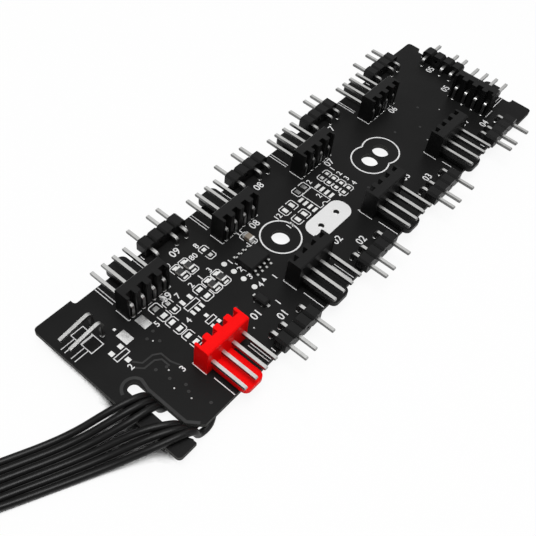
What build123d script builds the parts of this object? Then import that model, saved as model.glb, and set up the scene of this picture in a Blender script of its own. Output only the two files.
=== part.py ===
"""Fan controller hub: a long circuit board with right-angle headers round its edge and a six-wire lead.

Millimetres. +X runs from the cable end to the far end, +Y to the left-hand edge seen from the cable,
+Z up. The hub stands on its pin tails at Z = 0, with the origin under the middle of its outline.
"""
from build123d import *
import math
import os

os.makedirs("parts", exist_ok=True)

# Circuit board
BOARD_LENGTH = 116.5        # over the corner tabs
BOARD_WIDTH = 34.2          # over the corner tabs
BOARD_THICK = 1.0
TAIL_PROUD = 2.0            # pin tails below the board, which the hub stands on
SIDE_RECESS = 1.1           # long edges lie this far inside the tabs
END_RECESS = 1.35           # far edge lies this far inside its tabs
NEAR_LEFT_TAB = 8.25
FAR_LEFT_TAB = 6.85
FAR_RIGHT_TAB = 6.15
END_TAB_LEFT = 3.15
END_TAB_RIGHT = 4.95
CORNER_R = 0.8
NOTCH_R = 0.6

# Cable slot at the near end
SLOT_FROM_END = 3.85        # near edge to the slot's middle line
SLOT_WIDTH = 2.2
SLOT_ROUND_Y = 12.9         # right-hand edge to the centre of the round inner end
SLOT_STRAIGHT_END = 2.5     # right-hand edge to where the mouth begins to lean
SLOT_MOUTH_LEFT = 1.05      # lean of the mouth's two sides at the edge
SLOT_MOUTH_RIGHT = 2.1

# Screw holes
SCREW_D = 3.7
SCREW_Y = 0.1
SCREW_X = (45.5, 75.45, 79.45)      # from the near end
PLATED_D = 1.3              # two plated holes in the white field
PLATED_AT = ((53.3, -3.75), (58.3, -3.7))   # from the near end, and from the middle line

# Pins, common to all headers
PIN = 0.64
PIN_PITCH = 2.54
PIN_FIT = 0.01              # clearance on each side of a pin in its hole
PIN_TIP = 0.18              # chamfer of a pin's end
PIN_BEND = 0.7              # outer radius of a pin's bend

# Places of the headers
HEADER_PITCH = 24.08
FAN_LEFT_X = 17.35          # near end to the first fan header on each side
FAN_RIGHT_X = 18.75
LED_LEFT_STEP = 11.7        # from a fan header to the light header after it
LED_RIGHT_STEP = 11.9
FAN_END_Y = -5.6            # headers at the far end, from the middle line
LED_END_Y = 6.26

# Fan header
FAN_WAYS = 4
FAN_WIDTH = 10.05
FAN_FRONT = 6.0             # board edge to the wall's front face
FAN_DEPTH = 3.15
FAN_HEIGHT = 6.1
FAN_PIN_Z = 2.81
FAN_TIP_OUT = 1.4           # pin tips past the board's edge
FAN_TAIL_IN = 8.8           # board edge to the tails
GROOVE_WIDTH = 1.3
GROOVE_DEPTH = 1.15
TOOTH_R = 0.25
WALL_TOP_CHAMFER = 0.25
TONGUE_WIDTH = 4.7
TONGUE_SHIFT = -1.27        # the tongue is centred on the second pin
TONGUE_LOW = 0.2
TONGUE_THICK = 1.05
TONGUE_OUT = 1.5            # tongue past the board's edge
TONGUE_R = 1.2

# Light header
LED_CELLS = 4
LED_EMPTY = 2               # this place, counted from nought, has no pin
LED_HEIGHT = 2.75
LED_OUT = 1.0               # strip past the board's edge
LED_IN = 1.5                # strip inside the board's edge
LED_CHAMFER = 0.45
LED_PIN_Z = 1.5
LED_TIP_OUT = 4.77
LED_TAIL_IN = 3.05
LED_END_SET_BACK = 0.67     # the far-end strip sits this much further in

# Two bare pins
BARE_FOOT_FROM_END = 7.25
BARE_TIP_FROM_END = 0.55
BARE_Y = (6.6, 9.13)        # in from the left-hand side
BARE_TOP = 4.1
BARE_DROOP = 1.1
BARE_BEND = 0.9

# Small parts on the board: places from the near end, and from the middle line
CHIP_AT = (37.25, 0.15)
CHIP_SIZE = (4.9, 3.9, 1.35)
CHIP_STAND = 0.12
CHIP_SIDE_CHAMFER = 0.25
LEAD_PITCH = 1.25
LEAD_WIDTH = 0.42
LEAD_THICK = 0.2
LEAD_HIGH = 0.75
LEAD_SPAN = 6.2
LEAD_FOOT = 0.65
DIODE_AT = (31.45, -6.9)
DIODE_SIZE = (1.6, 2.7, 1.1)
DIODE_SPAN = 3.8
DIODE_LEAD_WIDTH = 0.6
CHIP_RESISTOR = (1.25, 2.0, 0.5)
CHIP_CAP_END = 0.4
RESISTOR_AT = ((25.9, 7.8), (28.05, 7.8), (27.95, 1.8), (30.25, 1.8))
CAPACITOR_AT = (40.75, 4.2)
CAPACITOR_HIGH = 0.9

# Six wires: their places in from the right-hand edge at the slot, the near edge and the floor
WIRE_D = 1.3
WIRE_PITCH = 1.38           # spacing side by side
WIRE_SLOT_Y = (10.8, 9.1, 7.3, 3.5, 1.75, -0.1)
WIRE_EDGE_Y = (12.16, 10.47, 8.64, 6.55, 4.65, 2.65)
WIRE_LAND_Y = (15.11, 13.56, 12.01, 10.45, 8.85, 7.2)
WIRE_UNDER = 1.0            # middle of the wires below the board's under side
WIRE_OVER = 1.0             # middle of the wires above the board's top
WIRE_SLANT = 0.25           # lean of the climb through the slot
WIRE_MOUTH_SHIFT = 0.9      # wires in the leaning mouth climb this much further in at the edge
WIRE_EDGE_OUT = 1.15        # past the near edge, where the wires begin to fall
WIRE_LAND_OUT = 8.5         # past the near edge, where they reach the floor
WIRE_REST = 0.67            # middle of a wire that lies on the floor
CORE_D = 0.7
CORE_FIT = 0.02             # bared ends below the board's under side, filled by solder
CORE_FROM_END = 10.9        # near edge to the tips of the bared ends
STRIP_RUN = 3.15            # from a wire's climb back to where its insulation stops
CORE_BEND = 0.6             # bared end straight out of the insulation
CORE_RISE = 1.2             # then this far on, it has risen to the board
CORE_INSET = 0.9            # bared ends keep this far in from the right-hand edge

# Coil, tie and plugs of the lead
LEAD_MID = (20.095, 16.45)  # middle of the flat ribbon: out from the near end, in from the right-hand edge
LEAD_RUN = 33.0             # from there to the coil
HEADING = 157.0             # direction of the lead as it reaches the coil, degrees from +X
# as the ribbon rolls up: distance along, turn from one wire to the next, lift of its middle
CURL_STEPS = ((7.5, 15.0, 0.04), (15.0, 30.0, 0.13), (22.5, 45.0, 0.28))
ROLLED_AT = 28.0            # distance along where the ribbon is a round bundle
ROLLED = 60.0               # turn from one wire to the next in the bundle
COIL_R = 19.0
COIL_PITCH = 4.45
COIL_SWEEP = 743.0          # degrees that the lead turns in the coil
COIL_TILT = 3.35            # degrees, so that the first half turn lies flat
BUNDLE_R = 2.2
BUNDLE_Z = 2.6
TIE_TURN = 270.0            # degrees along the coil
TIE_WIDTH = 2.6
TIE_THICK = 0.8
TIE_FIT = 0.15
TIE_HEAD = (4.6, 4.0, 3.2)

POWER_PITCH = 3.81
POWER_SIZE = (23.4, 7.2, 16.0)      # width, height, length
POWER_EDGE = 0.6
POWER_GAP = 30.0                    # coil's end to the plug's back
POWER_SLOT = (19.6, 2.4, 6.5)       # width, height, depth
POWER_KEY = (1.8, 2.0)              # the short leg of the keyed opening
POWER_RIB = (1.4, 0.7)              # guide rib on each side: height, how far it stands out
POWER_CONTACTS = 15
CONTACT_PITCH = 1.27
CONTACT_SIZE = (0.8, 0.2, 5.5)
FAN_PLUG_SHIFT = -18.3              # from the power plug's middle to the fan plug's
FAN_PLUG_GAP = 35.5                 # coil's end to the plug's back
FAN_PLUG_SIZE = (10.2, 5.6, 11.4)
FAN_PLUG_HOLE = 1.3
FAN_PLUG_HOLE_DEEP = 7.0
FAN_PLUG_RIB = (1.1, 0.9, 7.0)
FAN_PLUG_RIB_X = 2.0
FAN_PLUG_WINDOW = (1.2, 0.5, 2.0)

# Frame
near_end = -BOARD_LENGTH / 2
far_edge = BOARD_LENGTH / 2 - END_RECESS
side_edge = BOARD_WIDTH / 2 - SIDE_RECESS
right_edge = -side_edge
far_tips = far_edge + LED_TIP_OUT - LED_END_SET_BACK
board_x = -(near_end + far_tips) / 2
near_x = board_x + near_end
board_bottom = TAIL_PROUD
board_top = TAIL_PROUD + BOARD_THICK
under = Plane((board_x, 0, board_bottom))
top = Plane((board_x, 0, board_top))
UP = (0, 0, 1)


def edge_plane(x, y, along):
    """A header's own plane: origin on the board's edge, x along it, y into the board."""
    return Plane(origin=top.from_local_coords(Vector(x, y, 0)), x_dir=along, z_dir=UP)


def from_near(places):
    """Places measured from the near end, as places from the board's middle."""
    return [(near_end + x, y) for x, y in places]


# each fan header has a light header after it, and as many such pairs stand on a side as fit on it
led_half = LED_CELLS * PIN_PITCH / 2
left_room = BOARD_LENGTH - FAR_LEFT_TAB - (FAN_LEFT_X + LED_LEFT_STEP + led_half)
right_room = BOARD_LENGTH - FAR_RIGHT_TAB - (FAN_RIGHT_X + LED_RIGHT_STEP + led_half)
HEADERS_PER_SIDE = 1 + int(min(left_room, right_room) / HEADER_PITCH)

fan_planes = {}
led_planes = {}
for step in range(HEADERS_PER_SIDE):
    left_x = near_end + FAN_LEFT_X + HEADER_PITCH * step
    right_x = near_end + FAN_RIGHT_X + HEADER_PITCH * step
    fan_planes[9 - step] = edge_plane(left_x, side_edge, (-1, 0, 0))
    led_planes[9 - step] = edge_plane(left_x + LED_LEFT_STEP, side_edge, (-1, 0, 0))
    fan_planes[1 + step] = edge_plane(right_x, -side_edge, (1, 0, 0))
    led_planes[1 + step] = edge_plane(right_x + LED_RIGHT_STEP, -side_edge, (1, 0, 0))
fan_planes[5] = edge_plane(far_edge, FAN_END_Y, (0, 1, 0))
led_planes[5] = edge_plane(far_edge - LED_END_SET_BACK, LED_END_Y, (0, 1, 0))

fan_pin_x = [(way - (FAN_WAYS - 1) / 2) * PIN_PITCH for way in range(FAN_WAYS)]
led_cell_x = [(cell - (LED_CELLS - 1) / 2) * PIN_PITCH for cell in range(LED_CELLS)]
led_pin_x = [x for cell, x in enumerate(led_cell_x) if cell != LED_EMPTY]
pin_hole = PIN + 2 * PIN_FIT
slot_x = near_end + SLOT_FROM_END
slot_round = right_edge + SLOT_ROUND_Y
slot_lean = right_edge + SLOT_STRAIGHT_END
wire_slot_y = [right_edge + y for y in WIRE_SLOT_Y]
bare_y = [BOARD_WIDTH / 2 - y for y in BARE_Y]
chip_x, chip_y = from_near([CHIP_AT])[0]
diode_x, diode_y = from_near([DIODE_AT])[0]
resistor_at = from_near(RESISTOR_AT)
capacitor_at = from_near([CAPACITOR_AT])[0]
core_x = near_end + CORE_FROM_END
bare_foot_x = near_end + BARE_FOOT_FROM_END

# Circuit board
with BuildPart() as circuit_board:
    with BuildSketch(under):
        Rectangle(BOARD_LENGTH, BOARD_WIDTH)
        # recesses along the two long edges and the far end leave the corner tabs standing
        left_run = BOARD_LENGTH - NEAR_LEFT_TAB - FAR_LEFT_TAB
        left_mid = (NEAR_LEFT_TAB - FAR_LEFT_TAB) / 2
        with Locations((left_mid, BOARD_WIDTH / 2)):
            Rectangle(left_run, 2 * SIDE_RECESS, mode=Mode.SUBTRACT)
        near_right_tab = SLOT_FROM_END - SLOT_WIDTH / 2 + SLOT_MOUTH_LEFT
        right_run = BOARD_LENGTH - near_right_tab - FAR_RIGHT_TAB
        right_mid = (near_right_tab - FAR_RIGHT_TAB) / 2
        with Locations((right_mid, -BOARD_WIDTH / 2)):
            Rectangle(right_run, 2 * SIDE_RECESS, mode=Mode.SUBTRACT)
        end_run = BOARD_WIDTH - END_TAB_LEFT - END_TAB_RIGHT
        end_mid = (END_TAB_RIGHT - END_TAB_LEFT) / 2
        with Locations((BOARD_LENGTH / 2, end_mid)):
            Rectangle(2 * END_RECESS, end_run, mode=Mode.SUBTRACT)
    extrude(amount=BOARD_THICK)
    uprights = circuit_board.edges().filter_by(Axis.Z)
    at_corner = []
    at_notch = []
    for upright in uprights:
        spot = top.to_local_coords(upright.center())
        on_end = abs(abs(spot.X) - BOARD_LENGTH / 2) < 0.01
        on_side = abs(abs(spot.Y) - BOARD_WIDTH / 2) < 0.01
        in_notch = abs(abs(spot.Y) - side_edge) < 0.01 or abs(spot.X - far_edge) < 0.01
        if on_end and on_side:
            at_corner.append(upright)
        elif in_notch:
            at_notch.append(upright)
    fillet(at_corner, CORNER_R)
    fillet(at_notch, NOTCH_R)
    # the cable slot: round inside, leaning mouth at the right-hand edge
    with BuildSketch(under):
        with BuildLine():
            half = SLOT_WIDTH / 2
            mouth = -BOARD_WIDTH / 2
            lean = (mouth - slot_lean) / (right_edge - slot_lean)
            left_foot = (slot_x - half + SLOT_MOUTH_LEFT * lean, mouth)
            right_foot = (slot_x + half + SLOT_MOUTH_RIGHT * lean, mouth)
            arc_a = (slot_x - half, slot_round)
            arc_b = (slot_x + half, slot_round)
            ThreePointArc(arc_a, (slot_x, slot_round + half), arc_b)
            Polyline(arc_b, (slot_x + half, slot_lean), right_foot, left_foot,
                     (slot_x - half, slot_lean), arc_a)
        make_face()
    extrude(amount=BOARD_THICK, mode=Mode.SUBTRACT)
    with BuildSketch(under):
        with Locations(*from_near([(x, SCREW_Y) for x in SCREW_X])):
            Circle(SCREW_D / 2)
        with Locations(*from_near(PLATED_AT)):
            Circle(PLATED_D / 2)
        with Locations(*[(bare_foot_x, y) for y in bare_y]):
            Rectangle(pin_hole, pin_hole)
    extrude(amount=BOARD_THICK, mode=Mode.SUBTRACT)
    # the solder fills each tail's hole, so the opening is the pin's own section
    with BuildSketch(under):
        rows_of_tails = ((fan_planes, fan_pin_x, FAN_TAIL_IN), (led_planes, led_pin_x, LED_TAIL_IN))
        for planes, places, tail_in in rows_of_tails:
            for at in planes.values():
                spots = [top.to_local_coords(at.from_local_coords(Vector(x, tail_in, 0))) for x in places]
                with Locations(*[(spot.X, spot.Y) for spot in spots]):
                    Rectangle(pin_hole, pin_hole)
    extrude(amount=BOARD_THICK, mode=Mode.SUBTRACT)
circuit_board.part.label = "circuit_board"
export_step(circuit_board.part, "parts/circuit_board.step")


# Fan headers
def facing(at, x, height):
    """A plane at a header, seen from outside: extruding it runs into the board."""
    return Plane(origin=at.from_local_coords(Vector(x, 0, height)), x_dir=at.x_dir, z_dir=at.y_dir)


def beside(at, x):
    """A plane across a header at x: its axes run into the board and up."""
    return Plane(origin=at.from_local_coords(Vector(x, 0, 0)), x_dir=at.y_dir, z_dir=at.x_dir)


def fan_housing(at):
    """Back wall with toothed rear grooves for the tails, and the flat keying tongue in front of it."""
    rear = FAN_FRONT + FAN_DEPTH
    with BuildPart() as housing:
        with BuildSketch(at):
            with Locations((0, FAN_FRONT + FAN_DEPTH / 2)):
                Rectangle(FAN_WIDTH, FAN_DEPTH)
            with Locations(*[(x, rear) for x in fan_pin_x]):
                Rectangle(GROOVE_WIDTH, 2 * GROOVE_DEPTH, mode=Mode.SUBTRACT)
        extrude(amount=FAN_HEIGHT)
        teeth = [edge for edge in housing.edges().filter_by(Axis.Z)
                 if abs(at.to_local_coords(edge.center()).Y - rear) < 0.01]
        end_tooth = (FAN_WIDTH - GROOVE_WIDTH) / 2 - fan_pin_x[-1]
        fillet(teeth, min(TOOTH_R, 0.45 * end_tooth))
        front_top = [edge for edge in housing.edges().group_by(Axis.Z)[-1]
                     if abs(at.to_local_coords(edge.center()).Y - FAN_FRONT) < 0.01]
        chamfer(front_top, WALL_TOP_CHAMFER)
        with BuildSketch(at.offset(TONGUE_LOW)):
            run = FAN_FRONT + TONGUE_OUT
            with Locations((TONGUE_SHIFT, FAN_FRONT - run / 2)):
                Rectangle(TONGUE_WIDTH, run)
        extrude(amount=TONGUE_THICK)
        tips = [edge for edge in housing.edges().filter_by(Axis.Z)
                if abs(at.to_local_coords(edge.center()).Y + TONGUE_OUT) < 0.01]
        fillet(tips, TONGUE_R)
        with BuildSketch(facing(at, 0, FAN_PIN_Z)):
            with Locations(*[(x, 0) for x in fan_pin_x]):
                Rectangle(pin_hole, pin_hole)
        extrude(amount=rear, mode=Mode.SUBTRACT)
    return housing.part


def bent_pins(at, places, height, tip_out, tail_in):
    """Square right-angle pins: level out to the tips, bent down to tails that reach the floor."""
    half = PIN / 2
    with BuildPart() as pins:
        for x in places:
            with BuildSketch(beside(at, x - half)):
                with BuildLine():
                    Polyline((-tip_out, height - half + PIN_TIP), (-tip_out + PIN_TIP, height - half),
                             (tail_in - half, height - half), (tail_in - half, -board_top + PIN_TIP),
                             (tail_in - half + PIN_TIP, -board_top), (tail_in + half - PIN_TIP, -board_top),
                             (tail_in + half, -board_top + PIN_TIP),
                             (tail_in + half, height + half - PIN_BEND))
                    RadiusArc((tail_in + half, height + half - PIN_BEND),
                              (tail_in + half - PIN_BEND, height + half), -PIN_BEND)
                    Polyline((tail_in + half - PIN_BEND, height + half), (-tip_out + PIN_TIP, height + half),
                             (-tip_out, height + half - PIN_TIP), (-tip_out, height - half + PIN_TIP))
                make_face()
            extrude(amount=PIN)
    return pins.part


for number, at in fan_planes.items():
    header = fan_housing(at)
    header.label = f"fan_header_{number}"
    export_step(header, f"parts/fan_header_{number}.step")
    pins = bent_pins(at, fan_pin_x, FAN_PIN_Z, FAN_TIP_OUT, FAN_TAIL_IN)
    pins.label = f"fan_header_{number}_pins"
    export_step(pins, f"parts/fan_header_{number}_pins.step")


# Light headers
def led_housing(at):
    """A strip of eight-sided cells side by side, with one square hole through each."""
    half = PIN_PITCH / 2
    low = []
    high = []
    for x in led_cell_x:
        low += [(x - half, LED_CHAMFER), (x - half + LED_CHAMFER, 0), (x + half - LED_CHAMFER, 0)]
        high += [(x - half, LED_HEIGHT - LED_CHAMFER), (x - half + LED_CHAMFER, LED_HEIGHT),
                 (x + half - LED_CHAMFER, LED_HEIGHT)]
    end_x = led_cell_x[-1] + half
    outline = low + [(end_x, LED_CHAMFER), (end_x, LED_HEIGHT - LED_CHAMFER)] + high[::-1]
    front = Plane(origin=at.from_local_coords(Vector(0, LED_IN, 0)), x_dir=at.x_dir, z_dir=-at.y_dir)
    with BuildPart() as strip:
        with BuildSketch(front):
            with BuildLine():
                Polyline(*outline, close=True)
            make_face()
            with Locations(*[(x, LED_PIN_Z) for x in led_cell_x]):
                Rectangle(pin_hole, pin_hole, mode=Mode.SUBTRACT)
        extrude(amount=LED_IN + LED_OUT)
    return strip.part


for number, at in led_planes.items():
    strip = led_housing(at)
    strip.label = f"led_header_{number}"
    export_step(strip, f"parts/led_header_{number}.step")
    pins = bent_pins(at, led_pin_x, LED_PIN_Z, LED_TIP_OUT, LED_TAIL_IN)
    pins.label = f"led_header_{number}_pins"
    export_step(pins, f"parts/led_header_{number}_pins.step")

# Two bare pins at the near end
with BuildPart() as signal_pins:
    reach = BARE_FOOT_FROM_END - BARE_TIP_FROM_END
    for y in bare_y:
        foot = top.from_local_coords(Vector(bare_foot_x, y, -board_top))
        with BuildLine() as spine:
            FilletPolyline(foot, foot + Vector(0, 0, board_top + BARE_TOP),
                           foot + Vector(-reach, 0, board_top + BARE_TOP - BARE_DROOP), radius=BARE_BEND)
        with BuildSketch(Plane(origin=foot, z_dir=UP)):
            Rectangle(PIN, PIN)
        sweep(path=spine.line)
signal_pins.part.label = "signal_pins"
export_step(signal_pins.part, "parts/signal_pins.step")

# Controller chip
chip_plane = Plane(top.from_local_coords(Vector(chip_x, chip_y, CHIP_STAND)))
lead_x = [(lead - 1.5) * LEAD_PITCH for lead in range(4)]
with BuildPart() as controller_chip:
    with BuildSketch(chip_plane):
        Rectangle(CHIP_SIZE[0], CHIP_SIZE[1])
    extrude(amount=CHIP_SIZE[2])
    upper = controller_chip.faces().sort_by(Axis.Z)[-1].edges()
    chamfer(upper.filter_by(Axis.X), CHIP_SIDE_CHAMFER)
controller_chip.part.label = "controller_chip"
export_step(controller_chip.part, "parts/controller_chip.step")

with BuildPart() as controller_chip_leads:
    body_side = CHIP_SIZE[1] / 2
    toe = LEAD_SPAN / 2
    heel = toe - LEAD_FOOT
    for way in (-1, 1):
        for x in lead_x:
            corner = top.from_local_coords(Vector(chip_x + x, chip_y, 0))
            side = Plane(origin=corner, x_dir=(0, way, 0), z_dir=(way, 0, 0))
            with BuildSketch(side):
                with BuildLine():
                    Polyline((body_side, LEAD_HIGH), (heel, LEAD_HIGH), (heel + LEAD_THICK, LEAD_THICK),
                             (toe, LEAD_THICK), (toe, 0), (heel, 0),
                             (heel - LEAD_THICK, LEAD_HIGH - LEAD_THICK),
                             (body_side, LEAD_HIGH - LEAD_THICK), close=True)
                make_face()
            extrude(amount=LEAD_WIDTH / 2, both=True)
controller_chip_leads.part.label = "controller_chip_leads"
export_step(controller_chip_leads.part, "parts/controller_chip_leads.step")

# Diode
with BuildPart() as diode:
    with BuildSketch(Plane(top.from_local_coords(Vector(diode_x, diode_y, 0)))):
        Rectangle(DIODE_SIZE[0], DIODE_SIZE[1])
    extrude(amount=DIODE_SIZE[2])
    chamfer(diode.faces().sort_by(Axis.Z)[-1].edges(), CHIP_SIDE_CHAMFER)
diode.part.label = "diode"
export_step(diode.part, "parts/diode.step")

with BuildPart() as diode_leads:
    with BuildSketch(Plane(top.from_local_coords(Vector(diode_x, diode_y, 0)))):
        lead_run = (DIODE_SPAN - DIODE_SIZE[1]) / 2
        lead_mid = (DIODE_SPAN + DIODE_SIZE[1]) / 4
        with Locations((0, lead_mid), (0, -lead_mid)):
            Rectangle(DIODE_LEAD_WIDTH, lead_run)
    extrude(amount=LEAD_THICK)
diode_leads.part.label = "diode_leads"
export_step(diode_leads.part, "parts/diode_leads.step")

# Resistors and capacitor
chip_middle = CHIP_RESISTOR[1] - 2 * CHIP_CAP_END
chip_end_y = (CHIP_RESISTOR[1] - CHIP_CAP_END) / 2
with BuildPart() as resistors:
    with BuildSketch(top):
        with Locations(*resistor_at):
            Rectangle(CHIP_RESISTOR[0], chip_middle)
    extrude(amount=CHIP_RESISTOR[2])
resistors.part.label = "resistors"
export_step(resistors.part, "parts/resistors.step")

with BuildPart() as capacitor:
    with BuildSketch(top):
        with Locations(capacitor_at):
            Rectangle(CHIP_RESISTOR[0], chip_middle)
    extrude(amount=CAPACITOR_HIGH)
capacitor.part.label = "capacitor"
export_step(capacitor.part, "parts/capacitor.step")

with BuildPart() as chip_ends:
    with BuildSketch(top):
        for x, y in resistor_at:
            with Locations((x, y + chip_end_y), (x, y - chip_end_y)):
                Rectangle(CHIP_RESISTOR[0], CHIP_CAP_END)
    extrude(amount=CHIP_RESISTOR[2])
    with BuildSketch(top):
        x, y = capacitor_at
        with Locations((x, y + chip_end_y), (x, y - chip_end_y)):
            Rectangle(CHIP_RESISTOR[0], CHIP_CAP_END)
    extrude(amount=CAPACITOR_HIGH)
chip_ends.part.label = "chip_ends"
export_step(chip_ends.part, "parts/chip_ends.step")

# Soldered ends of the wires
def climb_at(y):
    """Where a wire climbs through the slot: on its middle line, further in where the mouth leans."""
    in_mouth = max(0.0, (slot_lean - y) / (slot_lean - right_edge))
    return board_x + slot_x + WIRE_MOUTH_SHIFT * in_mouth


with BuildPart() as wire_cores:
    for y in wire_slot_y:
        with BuildLine() as core_path:
            start = Vector(climb_at(y) + STRIP_RUN, y, board_bottom - WIRE_UNDER)
            bend = start + Vector(CORE_BEND, 0, 0)
            inside = max(y, right_edge + CORE_INSET)
            risen = Vector(bend.X + CORE_RISE, inside, board_bottom - CORE_D / 2 - CORE_FIT)
            tip = Vector(board_x + core_x, inside, risen.Z)
            FilletPolyline(start, bend, risen, tip, radius=CORE_D)
        with BuildSketch(Plane(origin=start, z_dir=(1, 0, 0))):
            Circle(CORE_D / 2)
        sweep(path=core_path.line)
wire_cores.part.label = "wire_cores"
export_step(wire_cores.part, "parts/wire_cores.step")

# The lead: coil
def compass(degrees):
    """A level direction, in degrees from +X."""
    return Vector(math.cos(math.radians(degrees)), math.sin(math.radians(degrees)), 0)


lead_way = compass(HEADING)
lead_side = compass(HEADING - 90)          # to the right of the lead's way
lead_mid = Vector(near_x - LEAD_MID[0], right_edge + LEAD_MID[1], 0)
coil_start = lead_mid + lead_way * LEAD_RUN + Vector(0, 0, BUNDLE_Z)
tilt = math.radians(COIL_TILT)
coil_normal = Vector(0, 0, math.cos(tilt)) - lead_side * math.sin(tilt)
coil_out = lead_side * math.cos(tilt) + Vector(0, 0, math.sin(tilt))
coil_plane = Plane(origin=coil_start - coil_out * COIL_R, x_dir=coil_out, z_dir=coil_normal)

helix = coil_plane.location * Helix(pitch=COIL_PITCH, height=COIL_PITCH * COIL_SWEEP / 360, radius=COIL_R)

with BuildPart() as wire_coil:
    with BuildSketch(Plane(origin=helix @ 0, x_dir=coil_out, z_dir=helix % 0)):
        RegularPolygon(BUNDLE_R, 12)
    sweep(path=helix, is_frenet=True)
wire_coil.part.label = "wire_coil"
export_step(wire_coil.part, "parts/wire_coil.step")

with BuildPart() as cable_tie:
    spot = math.radians(TIE_TURN)
    middle = COIL_PITCH * (TIE_TURN / 360 + 0.5)
    tie_at = coil_plane.from_local_coords(Vector(COIL_R * math.cos(spot), COIL_R * math.sin(spot), middle))
    out = coil_plane.x_dir * math.cos(spot) + coil_plane.y_dir * math.sin(spot)
    along = coil_plane.y_dir * math.cos(spot) - coil_plane.x_dir * math.sin(spot)
    inner_w = 2 * BUNDLE_R + 2 * TIE_FIT
    inner_h = inner_w + COIL_PITCH
    with BuildSketch(Plane(origin=tie_at, x_dir=out, z_dir=along)):
        RectangleRounded(inner_w + 2 * TIE_THICK, inner_h + 2 * TIE_THICK, BUNDLE_R)
        RectangleRounded(inner_w, inner_h, BUNDLE_R - TIE_THICK / 2, mode=Mode.SUBTRACT)
    extrude(amount=TIE_WIDTH / 2, both=True)
    head_mid = tie_at + out * (inner_w / 2 + TIE_HEAD[2] / 2)
    with BuildSketch(Plane(origin=head_mid, x_dir=out, z_dir=along)):
        Rectangle(TIE_HEAD[2], TIE_HEAD[1])
    extrude(amount=TIE_HEAD[0] / 2, both=True)
cable_tie.part.label = "cable_tie"
export_step(cable_tie.part, "parts/cable_tie.step")

# The lead: plugs
coil_end = helix @ 1
end_way = helix % 1
plug_back_x = coil_end.X - POWER_GAP
power_back = Plane(origin=(plug_back_x, coil_end.Y, 0), x_dir=(0, -1, 0), z_dir=(-1, 0, 0))
power_front = power_back.offset(POWER_SIZE[2])
with BuildPart() as power_plug:
    with BuildSketch(power_back):
        with Locations((0, POWER_SIZE[1] / 2)):
            Rectangle(POWER_SIZE[0], POWER_SIZE[1])
    extrude(amount=POWER_SIZE[2])
    fillet(power_plug.edges().filter_by(Axis.X), POWER_EDGE)
    with BuildSketch(power_back):
        with Locations((0, POWER_SIZE[1] / 2)):
            Rectangle(POWER_SIZE[0] + 2 * POWER_RIB[1], POWER_RIB[0])
    extrude(amount=POWER_SIZE[2] - POWER_SLOT[2])
    with BuildSketch(power_front):
        with Locations((0, POWER_SIZE[1] / 2)):
            Rectangle(POWER_SLOT[0], POWER_SLOT[1])
        key_x = (POWER_SLOT[0] - POWER_KEY[0]) / 2
        with Locations((key_x, POWER_SIZE[1] / 2 + (POWER_SLOT[1] + POWER_KEY[1]) / 2)):
            Rectangle(POWER_KEY[0], POWER_KEY[1])
    extrude(amount=-POWER_SLOT[2], mode=Mode.SUBTRACT)
power_plug.part.label = "power_plug"
export_step(power_plug.part, "parts/power_plug.step")

with BuildPart() as power_contacts:
    with BuildSketch(power_front.offset(-POWER_SLOT[2])):
        contact_y = (POWER_SIZE[1] - POWER_SLOT[1] + CONTACT_SIZE[1]) / 2
        with Locations((0, contact_y)):
            with GridLocations(CONTACT_PITCH, 1, POWER_CONTACTS, 1):
                Rectangle(CONTACT_SIZE[0], CONTACT_SIZE[1])
    extrude(amount=CONTACT_SIZE[2])
power_contacts.part.label = "power_contacts"
export_step(power_contacts.part, "parts/power_contacts.step")

fan_back_at = (coil_end.X - FAN_PLUG_GAP, coil_end.Y + FAN_PLUG_SHIFT, 0)
fan_back = Plane(origin=fan_back_at, x_dir=(0, -1, 0), z_dir=(-1, 0, 0))
with BuildPart() as fan_plug:
    with BuildSketch(fan_back):
        with Locations((0, FAN_PLUG_SIZE[1] / 2)):
            Rectangle(FAN_PLUG_SIZE[0], FAN_PLUG_SIZE[1])
    extrude(amount=FAN_PLUG_SIZE[2])
    with BuildSketch(fan_back.offset(FAN_PLUG_SIZE[2] - FAN_PLUG_RIB[2])):
        with Locations((FAN_PLUG_RIB_X, FAN_PLUG_SIZE[1]), (-FAN_PLUG_RIB_X, FAN_PLUG_SIZE[1])):
            Rectangle(FAN_PLUG_RIB[0], 2 * FAN_PLUG_RIB[1])
    extrude(amount=FAN_PLUG_RIB[2])
    with BuildSketch(fan_back.offset(FAN_PLUG_SIZE[2])):
        with Locations((0, FAN_PLUG_SIZE[1] / 2)):
            with GridLocations(PIN_PITCH, 1, FAN_WAYS, 1):
                Rectangle(FAN_PLUG_HOLE, FAN_PLUG_HOLE)
    extrude(amount=-FAN_PLUG_HOLE_DEEP, mode=Mode.SUBTRACT)
    with BuildSketch(fan_back.offset((FAN_PLUG_SIZE[2] - FAN_PLUG_RIB[2] - FAN_PLUG_WINDOW[2]) / 2)):
        with Locations((0, FAN_PLUG_SIZE[1])):
            with GridLocations(PIN_PITCH, 1, FAN_WAYS, 1):
                Rectangle(FAN_PLUG_WINDOW[0], 2 * FAN_PLUG_WINDOW[1])
    extrude(amount=FAN_PLUG_WINDOW[2], mode=Mode.SUBTRACT)
fan_plug.part.label = "fan_plug"
export_step(fan_plug.part, "parts/fan_plug.step")


# The lead: wires
def curl(place, turn):
    """Where a wire lies across the ribbon when each wire is turned by this much from the last."""
    hand = 1 if place < 3 else -1
    steps = 2 - place if place < 3 else place - 3
    across = WIRE_PITCH / 2
    rise = 0.0
    for step in range(1, steps + 1):
        across += WIRE_PITCH * math.cos(math.radians(turn * step))
        rise += WIRE_PITCH * math.sin(math.radians(turn * step))
    return hand * across, rise


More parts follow.
